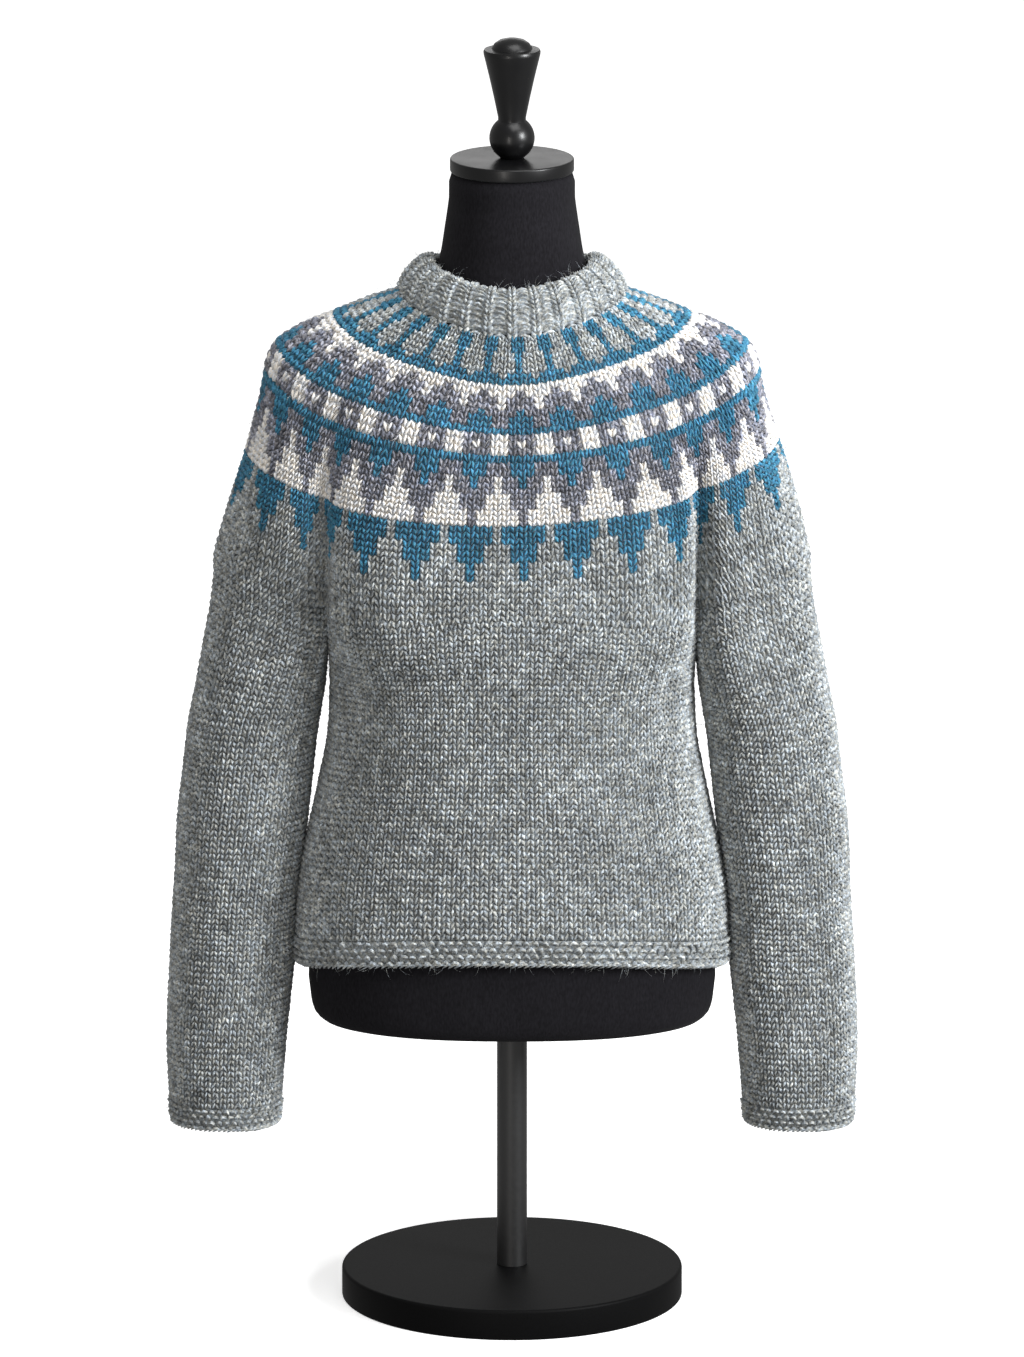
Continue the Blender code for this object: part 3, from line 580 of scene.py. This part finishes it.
def hairTube():  # one loose fibre, bent over, three-sided
    points, faces = [], []
    for i, width in enumerate((1.0, 0.8, 0.6)):
        for k in range(3):
            turn = 2 * math.pi * k / 3
            across = np.array((0.6 * math.cos(turn), math.sin(turn), -0.5 * math.cos(turn)))
            points.append(hairLine[i] + width * 0.011 * across)
    for i in range(2):
        for k in range(3):
            a = i * 3 + k
            b = i * 3 + (k + 1) % 3
            faces.append((a, b, b + 3, a + 3))
    points.append(hairLine[3])
    faces.append((2, 1, 0))
    for k in range(3):
        faces.append((6 + k, 6 + (k + 1) % 3, 9))
    return points, faces


hairMesh = meshObject("loose_fibre", *hairTube(), None)


# Two Geometry Nodes trees follow: one sets a stitch on each point, the other grows loose fibres.


def newTree(name, sockets):
    tree = bpy.data.node_groups.new(name, "GeometryNodeTree")
    ids = {}
    for socket, kind, inOut in sockets:
        ids[socket] = tree.interface.new_socket(name=socket, in_out=inOut, socket_type=kind).identifier
    return tree, ids, tree.nodes.new("NodeGroupInput"), tree.nodes.new("NodeGroupOutput")


def finishTree(tree, start, end, template, points, rotation, scale):  # real copies on points, in the yarn
    shape = addNode(tree, "GeometryNodeObjectInfo", None, None, {"Object": template})
    placed = addNode(tree, "GeometryNodeInstanceOnPoints", None, None, {
        "Points": points, "Instance": shape.outputs["Geometry"], "Rotation": rotation, "Scale": scale,
    })
    real = addNode(tree, "GeometryNodeRealizeInstances", None, None, {"Geometry": placed.outputs[0]})
    finish = addNode(tree, "GeometryNodeSetMaterial", None, None,
                     {"Geometry": real.outputs[0], "Material": start.outputs["Yarn"]})
    tree.links.new(finish.outputs[0], end.inputs["Geometry Out"])


def makeStitchTree():
    tree, ids, start, end = newTree("setStitchesOnPoints", (
        ("Geometry", "NodeSocketGeometry", "INPUT"),
        ("Stitch", "NodeSocketObject", "INPUT"),
        ("Size Change", "NodeSocketFloat", "INPUT"),
        ("Seed", "NodeSocketInt", "INPUT"),
        ("Yarn", "NodeSocketMaterial", "INPUT"),
        ("Geometry Out", "NodeSocketGeometry", "OUTPUT"),
    ))
    turn = addNode(tree, "GeometryNodeInputNamedAttribute", {"data_type": "FLOAT_VECTOR"}, {"Name": "turn"})
    size = addNode(tree, "GeometryNodeInputNamedAttribute", {"data_type": "FLOAT_VECTOR"}, {"Name": "size"})
    euler = addNode(tree, "FunctionNodeEulerToRotation", None, None, {0: turn.outputs[0]})
    most = calculate(tree, "ADD", 1.0, start.outputs["Size Change"])
    least = calculate(tree, "SUBTRACT", 1.0, start.outputs["Size Change"])
    uneven = addNode(tree, "FunctionNodeRandomValue", {"data_type": "FLOAT_VECTOR"}, None,
                     {0: least, 1: most, "Seed": start.outputs["Seed"]})
    scaled = addNode(tree, "ShaderNodeVectorMath", {"operation": "MULTIPLY"}, None,
                     {0: size.outputs[0], 1: uneven.outputs[0]})
    finishTree(tree, start, end, start.outputs["Stitch"], start.outputs["Geometry"], euler.outputs[0],
               scaled.outputs[0])
    return tree, ids


def makeHairTree():
    tree, ids, start, end = newTree("growLooseFibres", (
        ("Geometry", "NodeSocketGeometry", "INPUT"),
        ("Fibre", "NodeSocketObject", "INPUT"),
        ("Density", "NodeSocketFloat", "INPUT"),
        ("Length", "NodeSocketFloat", "INPUT"),
        ("Seed", "NodeSocketInt", "INPUT"),
        ("Yarn", "NodeSocketMaterial", "INPUT"),
        ("Geometry Out", "NodeSocketGeometry", "OUTPUT"),
    ))
    outside = addNode(tree, "GeometryNodeInputNamedAttribute", {"data_type": "FLOAT"}, {"Name": "outside"})
    density = calculate(tree, "MULTIPLY", outside.outputs[0], start.outputs["Density"])
    spots = addNode(tree, "GeometryNodeDistributePointsOnFaces", None, None, {
        "Mesh": start.outputs["Geometry"], "Density": density, "Seed": start.outputs["Seed"],
    })
    spin = addNode(tree, "FunctionNodeRandomValue", {"data_type": "FLOAT_VECTOR"},
                   {0: (-0.5, -0.5, -3.14), 1: (0.5, 0.5, 3.14)}, {"Seed": start.outputs["Seed"]})
    spinTurn = addNode(tree, "FunctionNodeEulerToRotation", None, None, {0: spin.outputs[0]})
    turn = addNode(tree, "FunctionNodeRotateRotation", {"rotation_space": "LOCAL"}, None,
                   {0: spots.outputs["Rotation"], 1: spinTurn.outputs[0]})
    long = addNode(tree, "FunctionNodeRandomValue", {"data_type": "FLOAT"}, {2: 0.55, 3: 1.5},
                   {"Seed": start.outputs["Seed"]})
    size = calculate(tree, "MULTIPLY", long.outputs[1], start.outputs["Length"])
    finishTree(tree, start, end, start.outputs["Fibre"], spots.outputs["Points"], turn.outputs[0], size)
    return tree, ids


stitchTree, stitchIds = makeStitchTree()
hairTree, hairIds = makeHairTree()


def applyTree(name, host, tree, ids, settings):  # the tree's result as a plain mesh
    modifier = host.modifiers.new(tree.name, "NODES")
    modifier.node_group = tree
    for socket, value in settings.items():
        modifier[ids[socket]] = value
    bpy.context.view_layer.update()
    evaluated = host.evaluated_get(bpy.context.evaluated_depsgraph_get())
    mesh = bpy.data.meshes.new_from_object(evaluated)
    mesh.name = name
    host.modifiers.remove(modifier)
    made = putInScene(name, mesh)
    mesh.shade_smooth()
    return made


def shadeOf(keys, rng):
    colours = np.array([linear(yarns[k][0]) for k in keys])
    flecks = np.array([yarns[k][1] for k in keys])
    change = 1.0 + rng.normal(0.0, 0.13, len(keys)) * (0.25 + flecks * 0.75)
    colours[:, :3] *= np.clip(change, 0.6, 1.45)[:, None]
    return colours, flecks


def stitchPoints(name, centre, across, up, outwards, colours, flecks, sizes):
    # A mesh of loose points that carry what the stitch tree reads.
    x = across / np.linalg.norm(across, axis=1, keepdims=True)
    z = outwards
    y = np.cross(z, x)
    y /= np.linalg.norm(y, axis=1, keepdims=True)
    x = np.cross(y, z)
    turns = [Matrix(np.array((a, b, c)).T.tolist()).to_euler("XYZ") for a, b, c in zip(x, y, z)]
    mesh = bpy.data.meshes.new(name)
    mesh.from_pydata(centre.tolist(), [], [])
    for label, kind, field, values in (
        ("turn", "FLOAT_VECTOR", "vector", np.array([tuple(t) for t in turns])),
        ("size", "FLOAT_VECTOR", "vector", sizes),
        ("yarn", "FLOAT_COLOR", "color", colours),
        ("fleck", "FLOAT", "value", flecks),
    ):
        mesh.attributes.new(label, kind, "POINT").data.foreach_set(field, values.astype(np.float32).ravel())
    made = putInScene(name, mesh)
    return made


def setStitches(name, cells, rng, template, change=0.13, sink=0.0007, proud=0.00115, sway=0.15, lean=0.0):
    # cells: rows of (low ring middles, high ring middles, across vectors, keys)
    centre = np.concatenate([(low + high) / 2 for low, high, across, keys in cells])
    across = np.concatenate([cell[2] for cell in cells])
    up = np.concatenate([high - low for low, high, _, _ in cells])
    keys = "".join(cell[3] for cell in cells)
    outwards = np.cross(across, up)
    outwards /= np.linalg.norm(outwards, axis=1, keepdims=True)
    colours, flecks = shadeOf(keys, rng)
    sizes = np.column_stack([
        np.linalg.norm(across, axis=1), np.linalg.norm(up, axis=1), np.full(len(centre), proud),
    ])
    swing = (lean + rng.normal(0.0, sway, len(centre)))[:, None]
    tilted = across + swing * up * (np.linalg.norm(across, axis=1) / np.linalg.norm(up, axis=1))[:, None]
    host = stitchPoints(name + "_points", centre - outwards * sink, tilted, up, outwards, colours, flecks,
                        sizes)
    made = applyTree(name, host, stitchTree, stitchIds, {
        "Stitch": template, "Size Change": change, "Seed": knit["seed"], "Yarn": wool,
    })
    bpy.data.objects.remove(host)
    return made


def growHairs(name, cloth, density, length):
    return applyTree(name, cloth, hairTree, hairIds, {
        "Fibre": hairMesh, "Density": density, "Length": length, "Seed": knit["seed"], "Yarn": wool,
    })


def rowCells(ringAt, low, high, count, first, period, keys):
    # Stitches of one row between two rounds of a surface, the first one's middle at this place.
    step = period / count
    middles = first + step * np.arange(count)
    lowRing = ringAt(low, middles)
    highRing = ringAt(high, middles)
    across = (ringAt(low, middles + step / 2) - ringAt(low, middles - step / 2)
              + ringAt(high, middles + step / 2) - ringAt(high, middles - step / 2)) / 2
    return lowRing, highRing, across, keys


# The yoke's chart: how many rows, then one repeat from the middle of a blue point outwards.
# g light grey, b blue, w cream, c charcoal. Stitches are decreased between the groups.

yokeChart = {
    "repeats": 28,
    "middle": 1.3,  # stitches from the front middle to the nearest blue point
    "rows": (
        (7, "gggggg"),
        (3, "bggggg"), (3, "bbgggb"), (3, "bbbgbb"),
        (3, "cwwwww"), (3, "ccwwwc"), (1, "cccwcc"), (2, "bccwcc"),
        (2, "bbcccb"), (1, "bbbbbb"),
        (1, "ccwwc"), (1, "wcwwc"), (1, "ccwwc"),
        (1, "bbbbb"), (2, "bbccb"), (1, "bcccc"),
        (2, "ccwc"), (1, "cwww"), (1, "wwww"),
        (1, "bbbb"), (1, "bbgb"), (4, "bggg"),
        (3, "bbgg", -0.75),
    ),
}


def chartRows():  # each row's repeat, and how many stitches it is shifted round
    rows = []
    for count, repeat, *shift in yokeChart["rows"]:
        rows += [(repeat, shift[0] if shift else 0.0)] * count
    return rows


def splitCells(cells, keep):  # keeps the stitches for which keep(centre) is true
    parts = []
    for low, high, across, keys in cells:
        chosen = keep((low + high) / 2)
        if chosen.any():
            kept = "".join(k for k, c in zip(keys, chosen) if c)
            parts.append((low[chosen], high[chosen], across[chosen], kept))
    return parts


def inFront(centre):
    return centre[:, 1] < 0


def behind(centre):
    return centre[:, 1] >= 0


pieces = []  # every piece, with the CAD nodes it stands for and its slot


def keepPiece(piece, nodes, slot):
    pieces.append((piece, nodes, slot))
    return piece


rng = np.random.default_rng(knit["seed"])

# yoke
charted = chartRows()
yokeCells = []
for row, (repeat, shift) in enumerate(charted):
    count = yokeChart["repeats"] * len(repeat)
    yokeCells.append(rowCells(yokeRing, row, row + 1, count, yokeChart["middle"] + shift, yokeStitches,
                              repeat * yokeChart["repeats"]))
yokeColumns = yokeChart["middle"] - 0.5 + np.arange(yokeStitches)
yokeGrid = np.array([yokeRing(row, yokeColumns) for row in range(knit["yokeRows"] + 1)])
groundKeys = []
for repeat, shift in charted:  # each ground face takes the yarn of the stitch over it
    share = ((np.arange(yokeStitches) - shift) % 6) / 6
    groundKeys.append("".join(repeat[int(round(s * len(repeat))) % len(repeat)] for s in share))
groundShades = [shadeOf(keys, rng) for keys in groundKeys]
yokeCloth = clothTube("yoke_cloth", yokeGrid, woolGroundPaintedShade, 6,
                      np.array([s[0] for s in groundShades]), np.array([s[1] for s in groundShades]))
yokeFront = setStitches("yoke_stitches_front", splitCells(yokeCells, inFront), rng, stitchMesh)
yokeBack = setStitches("yoke_stitches_back", splitCells(yokeCells, behind), rng, stitchMesh)
keepPiece(yokeCloth, ["yoke"], "patterned_wool")
keepPiece(yokeFront, [], "patterned_wool")
keepPiece(yokeBack, [], "patterned_wool")
print("yoke knitted:", sum(len(c[3]) for c in yokeCells), "stitches")

# body
bodyCells = []
for row in range(knit["bodyRows"]):
    bodyCells.append(rowCells(bodyRing, row / knit["bodyRows"], (row + 1) / knit["bodyRows"], bodyStitches,
                              0.5, bodyStitches, "g" * bodyStitches))
bodyGrid = np.array([bodyRing(share, np.arange(bodyStitches)) for share in np.linspace(0, 1, 28)])
bodyCloth = clothTube("body_cloth", bodyGrid, woolGroundPaintedShade, 3, None, None)
bodyFront = setStitches("body_stitches_front", splitCells(bodyCells, inFront), rng, stitchMesh)
bodyBack = setStitches("body_stitches_back", splitCells(bodyCells, behind), rng, stitchMesh)
keepPiece(bodyCloth, ["sweater_body"], "heather_wool")
keepPiece(bodyFront, [], "heather_wool")
keepPiece(bodyBack, [], "heather_wool")
print("body knitted:", sum(len(c[3]) for c in bodyCells), "stitches")

# sleeves
sleeveCloths = {}
sleeveStitchPieces = {}
for side, word in ((-1, "left"), (1, "right")):
    sideways = lambda share, stitches, side=side: sleeveRing(side, share, stitches)
    order = 1 if side == 1 else -1
    cells = []
    for row in range(knit["sleeveRows"]):
        low, high, across, keys = rowCells(sideways, row / knit["sleeveRows"], (row + 1) / knit["sleeveRows"],
                                           cuffStitches, 0.5, cuffStitches, "g" * cuffStitches)
        cells.append((low, high, across * order, keys))
    grid = np.array([sideways(share, np.arange(cuffStitches)) for share in np.linspace(0, 1, 45)])
    sleeveCloths[side] = clothTube("sleeve_cloth_" + word, grid, woolGroundPaintedShade, 4, None, None)
    sleeveStitchPieces[side] = setStitches("sleeve_stitches_" + word, cells, rng, stitchMesh)
    keepPiece(sleeveCloths[side], ["sleeve_" + word], "heather_wool")
    keepPiece(sleeveStitchPieces[side], [], "heather_wool")
print("sleeves knitted:", 2 * knit["sleeveRows"] * cuffStitches, "stitches")

# hem band and cuffs: garter stitch, ridges of purl bumps and a firm cast-on edge
garter = {
    "hemDrop": 0.024, "hemFlare": 0.0012, "cuffDrop": 0.021, "cuffDrawIn": 0.0022,
    "rows": 4, "gap": 0.0003, "uneven": 0.26, "tilt": 0.30,
}


def bandRing(topRing, drop, spread, share):
    away = np.roll(topRing, -1, axis=0) - np.roll(topRing, 1, axis=0)
    away = np.column_stack([away[:, 1], -away[:, 0], np.zeros(len(away))])
    away /= np.linalg.norm(away, axis=1, keepdims=True)
    if (away * (topRing - topRing.mean(axis=0))).sum() < 0:
        away = -away
    ring = topRing + away * spread(share)
    ring[:, 2] -= garter["gap"] + drop * share
    return ring


def garterBand(word, topAt, period, drop, spread, mirrored):
    fine = np.arange(period * 2) / 2
    shares = np.linspace(1, 0, 6)
    grid = np.array([bandRing(topAt(fine), drop, spread, share) for share in shares])
    cloth = clothTube(word + "_cloth", grid, woolGroundPaintedShade, 2, None, None)
    parts = []
    count = garter["rows"]
    for ridge in range(count):
        high = 1 - ridge / count
        low = 1 - (ridge + 1) / count
        middles = np.arange(period) + (0.5 if ridge % 2 else 0.0)
        across = topAt(middles + 0.5) - topAt(middles - 0.5)
        ring = topAt(middles)
        lowRing = bandRing(ring, drop, spread, high)
        highRing = bandRing(ring, drop, spread, low)
        parts.append((lowRing, highRing, across * (-1 if mirrored else 1), "g" * period))
    stitches = setStitches(word + "_stitches", parts, rng, purlMesh, garter["uneven"],
                           0.0003, 0.0014, garter["tilt"])
    count = int(period * 1.5)  # the cast-on edge is a firm cord of slanting strands
    middles = np.arange(count) * period / count
    across = (topAt(middles + 0.8) - topAt(middles - 0.8)) * (-1 if mirrored else 1)
    ring = topAt(middles)
    edge = (bandRing(ring, drop, spread, 1.03), bandRing(ring, drop, spread, 0.86), across, "g" * count)
    cord = setStitches(word + "_cord", [edge], rng, purlMesh, 0.08, 0.0004, 0.0013, 0.04, 0.28)
    keepPiece(cord, [], "garter_wool")
    keepPiece(cloth, [word], "garter_wool")
    keepPiece(stitches, [], "garter_wool")
    return cloth, stitches, cord


hemCloth, hemStitches, hemCord = garterBand(
    "hem_band", lambda s: bodyRing(0.0, s), bodyStitches,
    garter["hemDrop"], lambda t: garter["hemFlare"] * math.sin(t * math.pi), False)
cuffs = {}
for side, word in ((-1, "left"), (1, "right")):
    cuffs[side] = garterBand(
        "cuff_" + word, lambda s, side=side: sleeveRing(side, 0.0, s), cuffStitches,
        garter["cuffDrop"], lambda t: -garter["cuffDrawIn"] * t * t, side == -1)
print("hem and cuffs knitted")

# neckband: doubled 1x1 rib, rolled over at the rim
neck = {
    "ribs": 28,
    "ridge": 0.0013,  # how far a rib stands above its furrow
    "lines": (  # inset at the sides, inset at front and back, rise
        (0.0000, 0.0000, 0.0003), (0.0048, 0.0030, 0.0130), (0.0130, 0.0085, 0.0235),
        (0.0222, 0.0155, 0.0305), (0.0278, 0.0212, 0.0315), (0.0305, 0.0245, 0.0285),
        (0.0210, 0.0175, 0.0195), (0.0125, 0.0105, 0.0105), (0.0082, 0.0072, 0.0035),
    ),
    "rows": 22,
}


def neckRing(place, stitches):  # place runs from the outer foot, 0, over the rim to the inner foot, 8
    top = yokeRing(knit["yokeRows"], stitches)
    inset, middleInset, rise = curveThrough(np.arange(9), np.array(neck["lines"]), np.array([place]))[0]
    away = top[:, :2] / np.linalg.norm(top[:, :2], axis=1, keepdims=True)
    ring = top.copy()
    ring[:, :2] -= away * (inset + (middleInset - inset) * away[:, 1:2] ** 2)
    ring[:, 2] += rise * (1.0 + 0.22 * np.clip(-away[:, 1], 0.0, 1.0) ** 2)
    return ring


neckColumns = np.arange(neck["ribs"] * 8) * yokeStitches / (neck["ribs"] * 8)
neckGrid = np.array([neckRing(place, neckColumns) for place in np.linspace(0, 8, 41)])
ringMiddle = neckGrid.mean(axis=0, keepdims=True)
sectionAway = neckGrid - ringMiddle
sectionAway /= np.linalg.norm(sectionAway, axis=2, keepdims=True)
wave = (0.5 + 0.5 * np.cos(neckColumns * 2 * math.pi * neck["ribs"] / yokeStitches)) ** 1.5
grooved = neckGrid - sectionAway * (0.0006 + neck["ridge"] * (1 - wave))[None, :, None]
bandFaces = ringFaces(len(grooved), len(neckColumns), True)
bandCloth = meshObject("neckband_cloth", grooved.reshape(-1, 3), bandFaces, woolGroundPaintedShade)
paintFaces(bandCloth, grooved, None, None)
ribCells, furrowCells = [], []
rib = yokeStitches / neck["ribs"]
for row in range(neck["rows"]):
    low = 7.6 * row / neck["rows"] - 0.2
    high = low + 7.6 / neck["rows"]
    cells = rowCells(neckRing, low, high, neck["ribs"], 0.0, yokeStitches, "g" * neck["ribs"])
    ribCells.append((cells[0], cells[1], cells[2] * 0.42, cells[3]))
    cells = rowCells(neckRing, low, high, neck["ribs"], rib / 2, yokeStitches, "g" * neck["ribs"])
    furrowCells.append((cells[0], cells[1], cells[2] * 0.64, cells[3]))
bandStitches = setStitches("neckband_ribs", ribCells, rng, stitchMesh, 0.10, 0.0002, 0.0013)
bandPurls = setStitches("neckband_furrows", furrowCells, rng, purlMesh, 0.16, 0.0014, 0.00115)
keepPiece(bandCloth, ["neckband"], "rib_wool")
keepPiece(bandStitches, [], "rib_wool")
keepPiece(bandPurls, [], "rib_wool")
print("neckband knitted")

# loose fibres on every piece of knitting
fuzz = {"density": 15500, "length": 0.0090}
hairs = {}
for cloth, share in ((yokeCloth, 1.0), (bodyCloth, 1.0), (sleeveCloths[-1], 1.0), (sleeveCloths[1], 1.0),
                     (hemCloth, 3.0), (cuffs[-1][0], 3.0), (cuffs[1][0], 3.0), (bandCloth, 2.0)):
    word = cloth.name.replace("_cloth", "_fibres")
    hairs[cloth.name] = growHairs(word, cloth, fuzz["density"] * share, fuzz["length"])
    slot = [p[2] for p in pieces if p[0] == cloth][0]
    keepPiece(hairs[cloth.name], [], slot)
print("loose fibres grown")

# dress form
formRings = (  # side z, front z, back z, half width, front, back
    (0.2650, 0.2650, 0.2650, 0.1660, 0.0950, 0.0890), (0.2672, 0.2672, 0.2672, 0.1745, 0.1030, 0.0965),
    (0.2735, 0.2735, 0.2735, 0.1808, 0.1090, 0.1020), (0.2830, 0.2830, 0.2830, 0.1835, 0.1115, 0.1045),
    (0.3450, 0.3450, 0.3450, 0.1835, 0.1120, 0.1050), (0.4100, 0.4100, 0.4100, 0.1790, 0.1110, 0.1035),
    (0.4700, 0.4700, 0.4700, 0.1690, 0.1090, 0.1015), (0.5300, 0.5300, 0.5300, 0.1600, 0.1090, 0.1020),
    (0.5900, 0.5900, 0.5900, 0.1570, 0.1120, 0.1040), (0.6500, 0.6500, 0.6500, 0.1570, 0.1150, 0.1060),
    (0.7150, 0.7000, 0.7000, 0.1610, 0.1150, 0.1060), (0.7800, 0.7450, 0.7450, 0.1740, 0.1130, 0.1050),
    (0.8300, 0.7800, 0.7850, 0.1880, 0.1090, 0.1015), (0.8660, 0.8180, 0.8250, 0.1970, 0.1050, 0.0980),
)
neckRings = (
    (0.9440, 0.9250, 0.9540, 0.0835, 0.0780, 0.0740), (0.9540, 0.9390, 0.9640, 0.0715, 0.0670, 0.0635),
    (0.9730, 0.9670, 0.9770, 0.0655, 0.0620, 0.0590), (1.0000, 0.9990, 1.0010, 0.0610, 0.0600, 0.0580),
    (1.0280, 1.0280, 1.0280, 0.0570, 0.0565, 0.0550), (1.0500, 1.0500, 1.0500, 0.0548, 0.0545, 0.0535),
    (1.0525, 1.0525, 1.0525, 0.0530, 0.0527, 0.0517),
)


def formRing(ring, exponent, around):
    sideZ, frontZ, backZ, halfWidth, front, back = ring
    xy = ovalRing(halfWidth, front, back, exponent, around)
    return np.column_stack([xy, easedHeight(xy, sideZ, frontZ, backZ, front, back)])


formColumns = np.arange(yokeStitches)
shoulderRows = (35, 37.5, 41, 44.5, 48)
shoulders = np.array([yokeRing(row, formColumns) for row in (32.5,) + shoulderRows])
under = (shoulders - (knit["wall"] + 0.0012) * gridNormals(shoulders))[1:]
rings = [formRing(ring, 2.35, formColumns / yokeStitches) for ring in formRings]
rings += list(under)
rings += [formRing(ring, 2.0, formColumns / yokeStitches) for ring in neckRings]
rings = np.array(rings)
steps = np.linalg.norm(np.diff(rings, axis=0), axis=2).mean(axis=1)
knots = np.concatenate([[0.0], np.cumsum(steps)])
spans = [np.linspace(a, b, 4 if b - a > 0.02 else 3) for a, b in zip(knots[:-1], knots[1:])]
fine = np.unique(np.concatenate(spans))
form = solidOfRings("form_torso", curveThrough(knots, rings, fine), jersey, 50.0)
keepPiece(form, ["dress_form"], "jersey_cover")

# stand, cap and finial, all turned
stand = {"baseWidth": 0.312, "baseHeight": 0.028, "poleWidth": 0.0276, "capWidth": 0.112, "capHeight": 0.012,
         "formTop": 1.0525, "gap": 0.0003}


def roundedDisc(radius, height, lowRound, highRound):
    profile = []
    for i in range(5):
        turn = math.pi / 2 * i / 4
        profile.append((radius - lowRound + lowRound * math.sin(turn), lowRound - lowRound * math.cos(turn)))
    for i in range(7):
        turn = math.pi / 2 * i / 6
        r = radius - highRound + highRound * math.cos(turn)
        profile.append((r, height - highRound + highRound * math.sin(turn)))
    return profile


def turnedPiece(name, profile, baseZ, columns, material, sharpAbove):
    return solidOfRings(name, turnedRings(profile, baseZ, columns), material, sharpAbove)


baseProfile = roundedDisc(stand["baseWidth"] / 2, stand["baseHeight"], 0.0015, 0.003)
base = turnedPiece("stand_base", baseProfile, 0.0, 160, steel, 35.0)
keepPiece(base, ["base_disc"], "black_steel")
poleHeights = (stand["baseHeight"] + stand["gap"], 0.12, formRings[0][0] - stand["gap"])
poleProfile = [(stand["poleWidth"] / 2, z) for z in poleHeights]
pole = turnedPiece("stand_pole", poleProfile, 0.0, 64, tubePaint, 35.0)
keepPiece(pole, ["pole"], "black_steel")
capBottom = stand["formTop"] + stand["gap"]
capProfile = roundedDisc(stand["capWidth"] / 2, stand["capHeight"], 0.0016, 0.0016)
cap = turnedPiece("turned_cap", capProfile, capBottom, 120, lacquer, 35.0)
keepPiece(cap, ["neck_cap"], "black_lacquer")
ball = []
ballRadius, ballMiddle = 0.0205, 0.0180
lowest = math.asin(0.0130 / ballRadius)
highest = math.asin(0.0126 / ballRadius)
for i in range(25):
    turn = lowest + (math.pi - highest - lowest) * i / 24
    ball.append((ballRadius * math.sin(turn), ballMiddle - ballRadius * math.cos(turn)))
stem = [  # radius, height above the cap
    (0.0126, 0.0370), (0.0165, 0.0560), (0.0205, 0.0740), (0.0240, 0.0885), (0.0256, 0.0950),
    (0.0258, 0.0975), (0.0250, 0.0993), (0.0185, 0.1000), (0.0178, 0.1016), (0.0158, 0.1046),
    (0.0115, 0.1076), (0.0055, 0.1092), (0.0022, 0.1096),
]
finialBottom = capBottom + stand["capHeight"] + stand["gap"]
finial = turnedPiece("turned_finial", [(0.0105, 0.0)] + ball + stem, finialBottom, 72, lacquer, 40.0)
keepPiece(finial, ["finial"], "black_lacquer")
print("form and stand made")

for template in (stitchMesh, purlMesh, hairMesh):
    bpy.data.objects.remove(template)

# what each piece rides on, and the CAD nodes it replaces
for piece, nodes, slot in pieces:
    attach(piece, "root")
    if nodes:
        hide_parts(*nodes)

for side in (-1, 1):
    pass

# camera, floor and light
shot = {"lens": 400.0, "elevation": 14.0, "target": (0.0, 0.0, 0.581), "tall": 1.2335}
cameraData = bpy.data.cameras.new("camera")
cameraData.lens = shot["lens"]
cameraData.sensor_width = 36.0
cameraData.clip_end = 200.0
camera = putInScene("camera", cameraData)
distance = shot["tall"] * shot["lens"] / 36.0
tilt = math.radians(shot["elevation"])
camera.location = Vector(shot["target"]) + distance * Vector((0.0, -math.cos(tilt), math.sin(tilt)))
camera.rotation_euler = (math.pi / 2 - tilt, 0.0, 0.0)
bpy.context.scene.camera = camera

floorData = bpy.data.meshes.new("floor")
floorData.from_pydata([(-40, -40, 0), (40, -40, 0), (40, 40, 0), (-40, 40, 0)], [], [(0, 1, 2, 3)])
floor = putInScene("floor", floorData)
paper, paperTree, paperShader = newMaterial("white_studio_floor", 0.9, {"Specular IOR Level": 0.0})
paperShader.inputs["Base Color"].default_value = linear("#F7F7F7")
paperShader.inputs["Emission Color"].default_value = (1.0, 1.0, 1.0, 1.0)  # painted light: the floor glows, dimmer near the stand as a painted shadow round the base
floorPlace = addNode(paperTree, "ShaderNodeTexCoord").outputs["Object"]
fromStand = addNode(paperTree, "ShaderNodeVectorMath", {"operation": "LENGTH"}, None, {0: floorPlace})
# painted shadow: the glow is 0.58 within 0.25 m of the stand and rises to 0.80 by 1.1 m
paintedGlow = addNode(paperTree, "ShaderNodeMapRange", None,
                    {"From Min": 0.25, "From Max": 1.1, "To Min": 0.58, "To Max": 0.80},
                    {"Value": fromStand.outputs["Value"]})
paperTree.links.new(paintedGlow.outputs[0], paperShader.inputs["Emission Strength"])
floorData.materials.append(paper)
floor.visible_diffuse = False  # as black flags round a set would, the floor's painted glow and its bounce are kept off the cloth
floor.visible_glossy = False

world = bpy.data.worlds.new("studio")
world.use_nodes = True
world.node_tree.nodes["Background"].inputs["Color"].default_value = (1.0, 0.995, 0.985, 1.0)
world.node_tree.nodes["Background"].inputs["Strength"].default_value = 0.34
bpy.context.scene.world = world
bpy.context.scene.view_settings.view_transform = "Standard"


def softBox(name, place, target, size, power, tone):
    light = bpy.data.lights.new(name, "AREA")
    light.shape = "RECTANGLE"
    light.size, light.size_y = size
    light.energy = power
    light.color = tone
    made = putInScene(name, light)
    made.location = place
    made.rotation_euler = (Vector(target) - Vector(place)).to_track_quat("-Z", "Y").to_euler()
    return made


softBox("key", (3.1, -2.1, 2.1), (0.0, 0.0, 0.65), (1.2, 1.5), 200.0, (0.97, 0.985, 1.0))
softBox("top", (0.5, -0.7, 3.2), (0.0, 0.0, 0.65), (1.6, 1.6), 36.0, (1.0, 1.0, 1.0))
softBox("fill", (-0.9, -3.5, 0.9), (0.0, 0.0, 0.6), (0.32, 1.8), 19.0, (1.0, 0.965, 0.92))
softBox("back card", (0.0, 4.0, 2.15), (0.0, 0.0, 1.05), (2.4, 0.9), 9.0, (1.0, 1.0, 1.0))
print("studio set")

triangles = {piece.name: sum(len(f.vertices) - 2 for f in piece.data.polygons) for piece, _, _ in pieces}
print("triangles:", sum(triangles.values()), "and at most", max(triangles.values()), "in one piece")
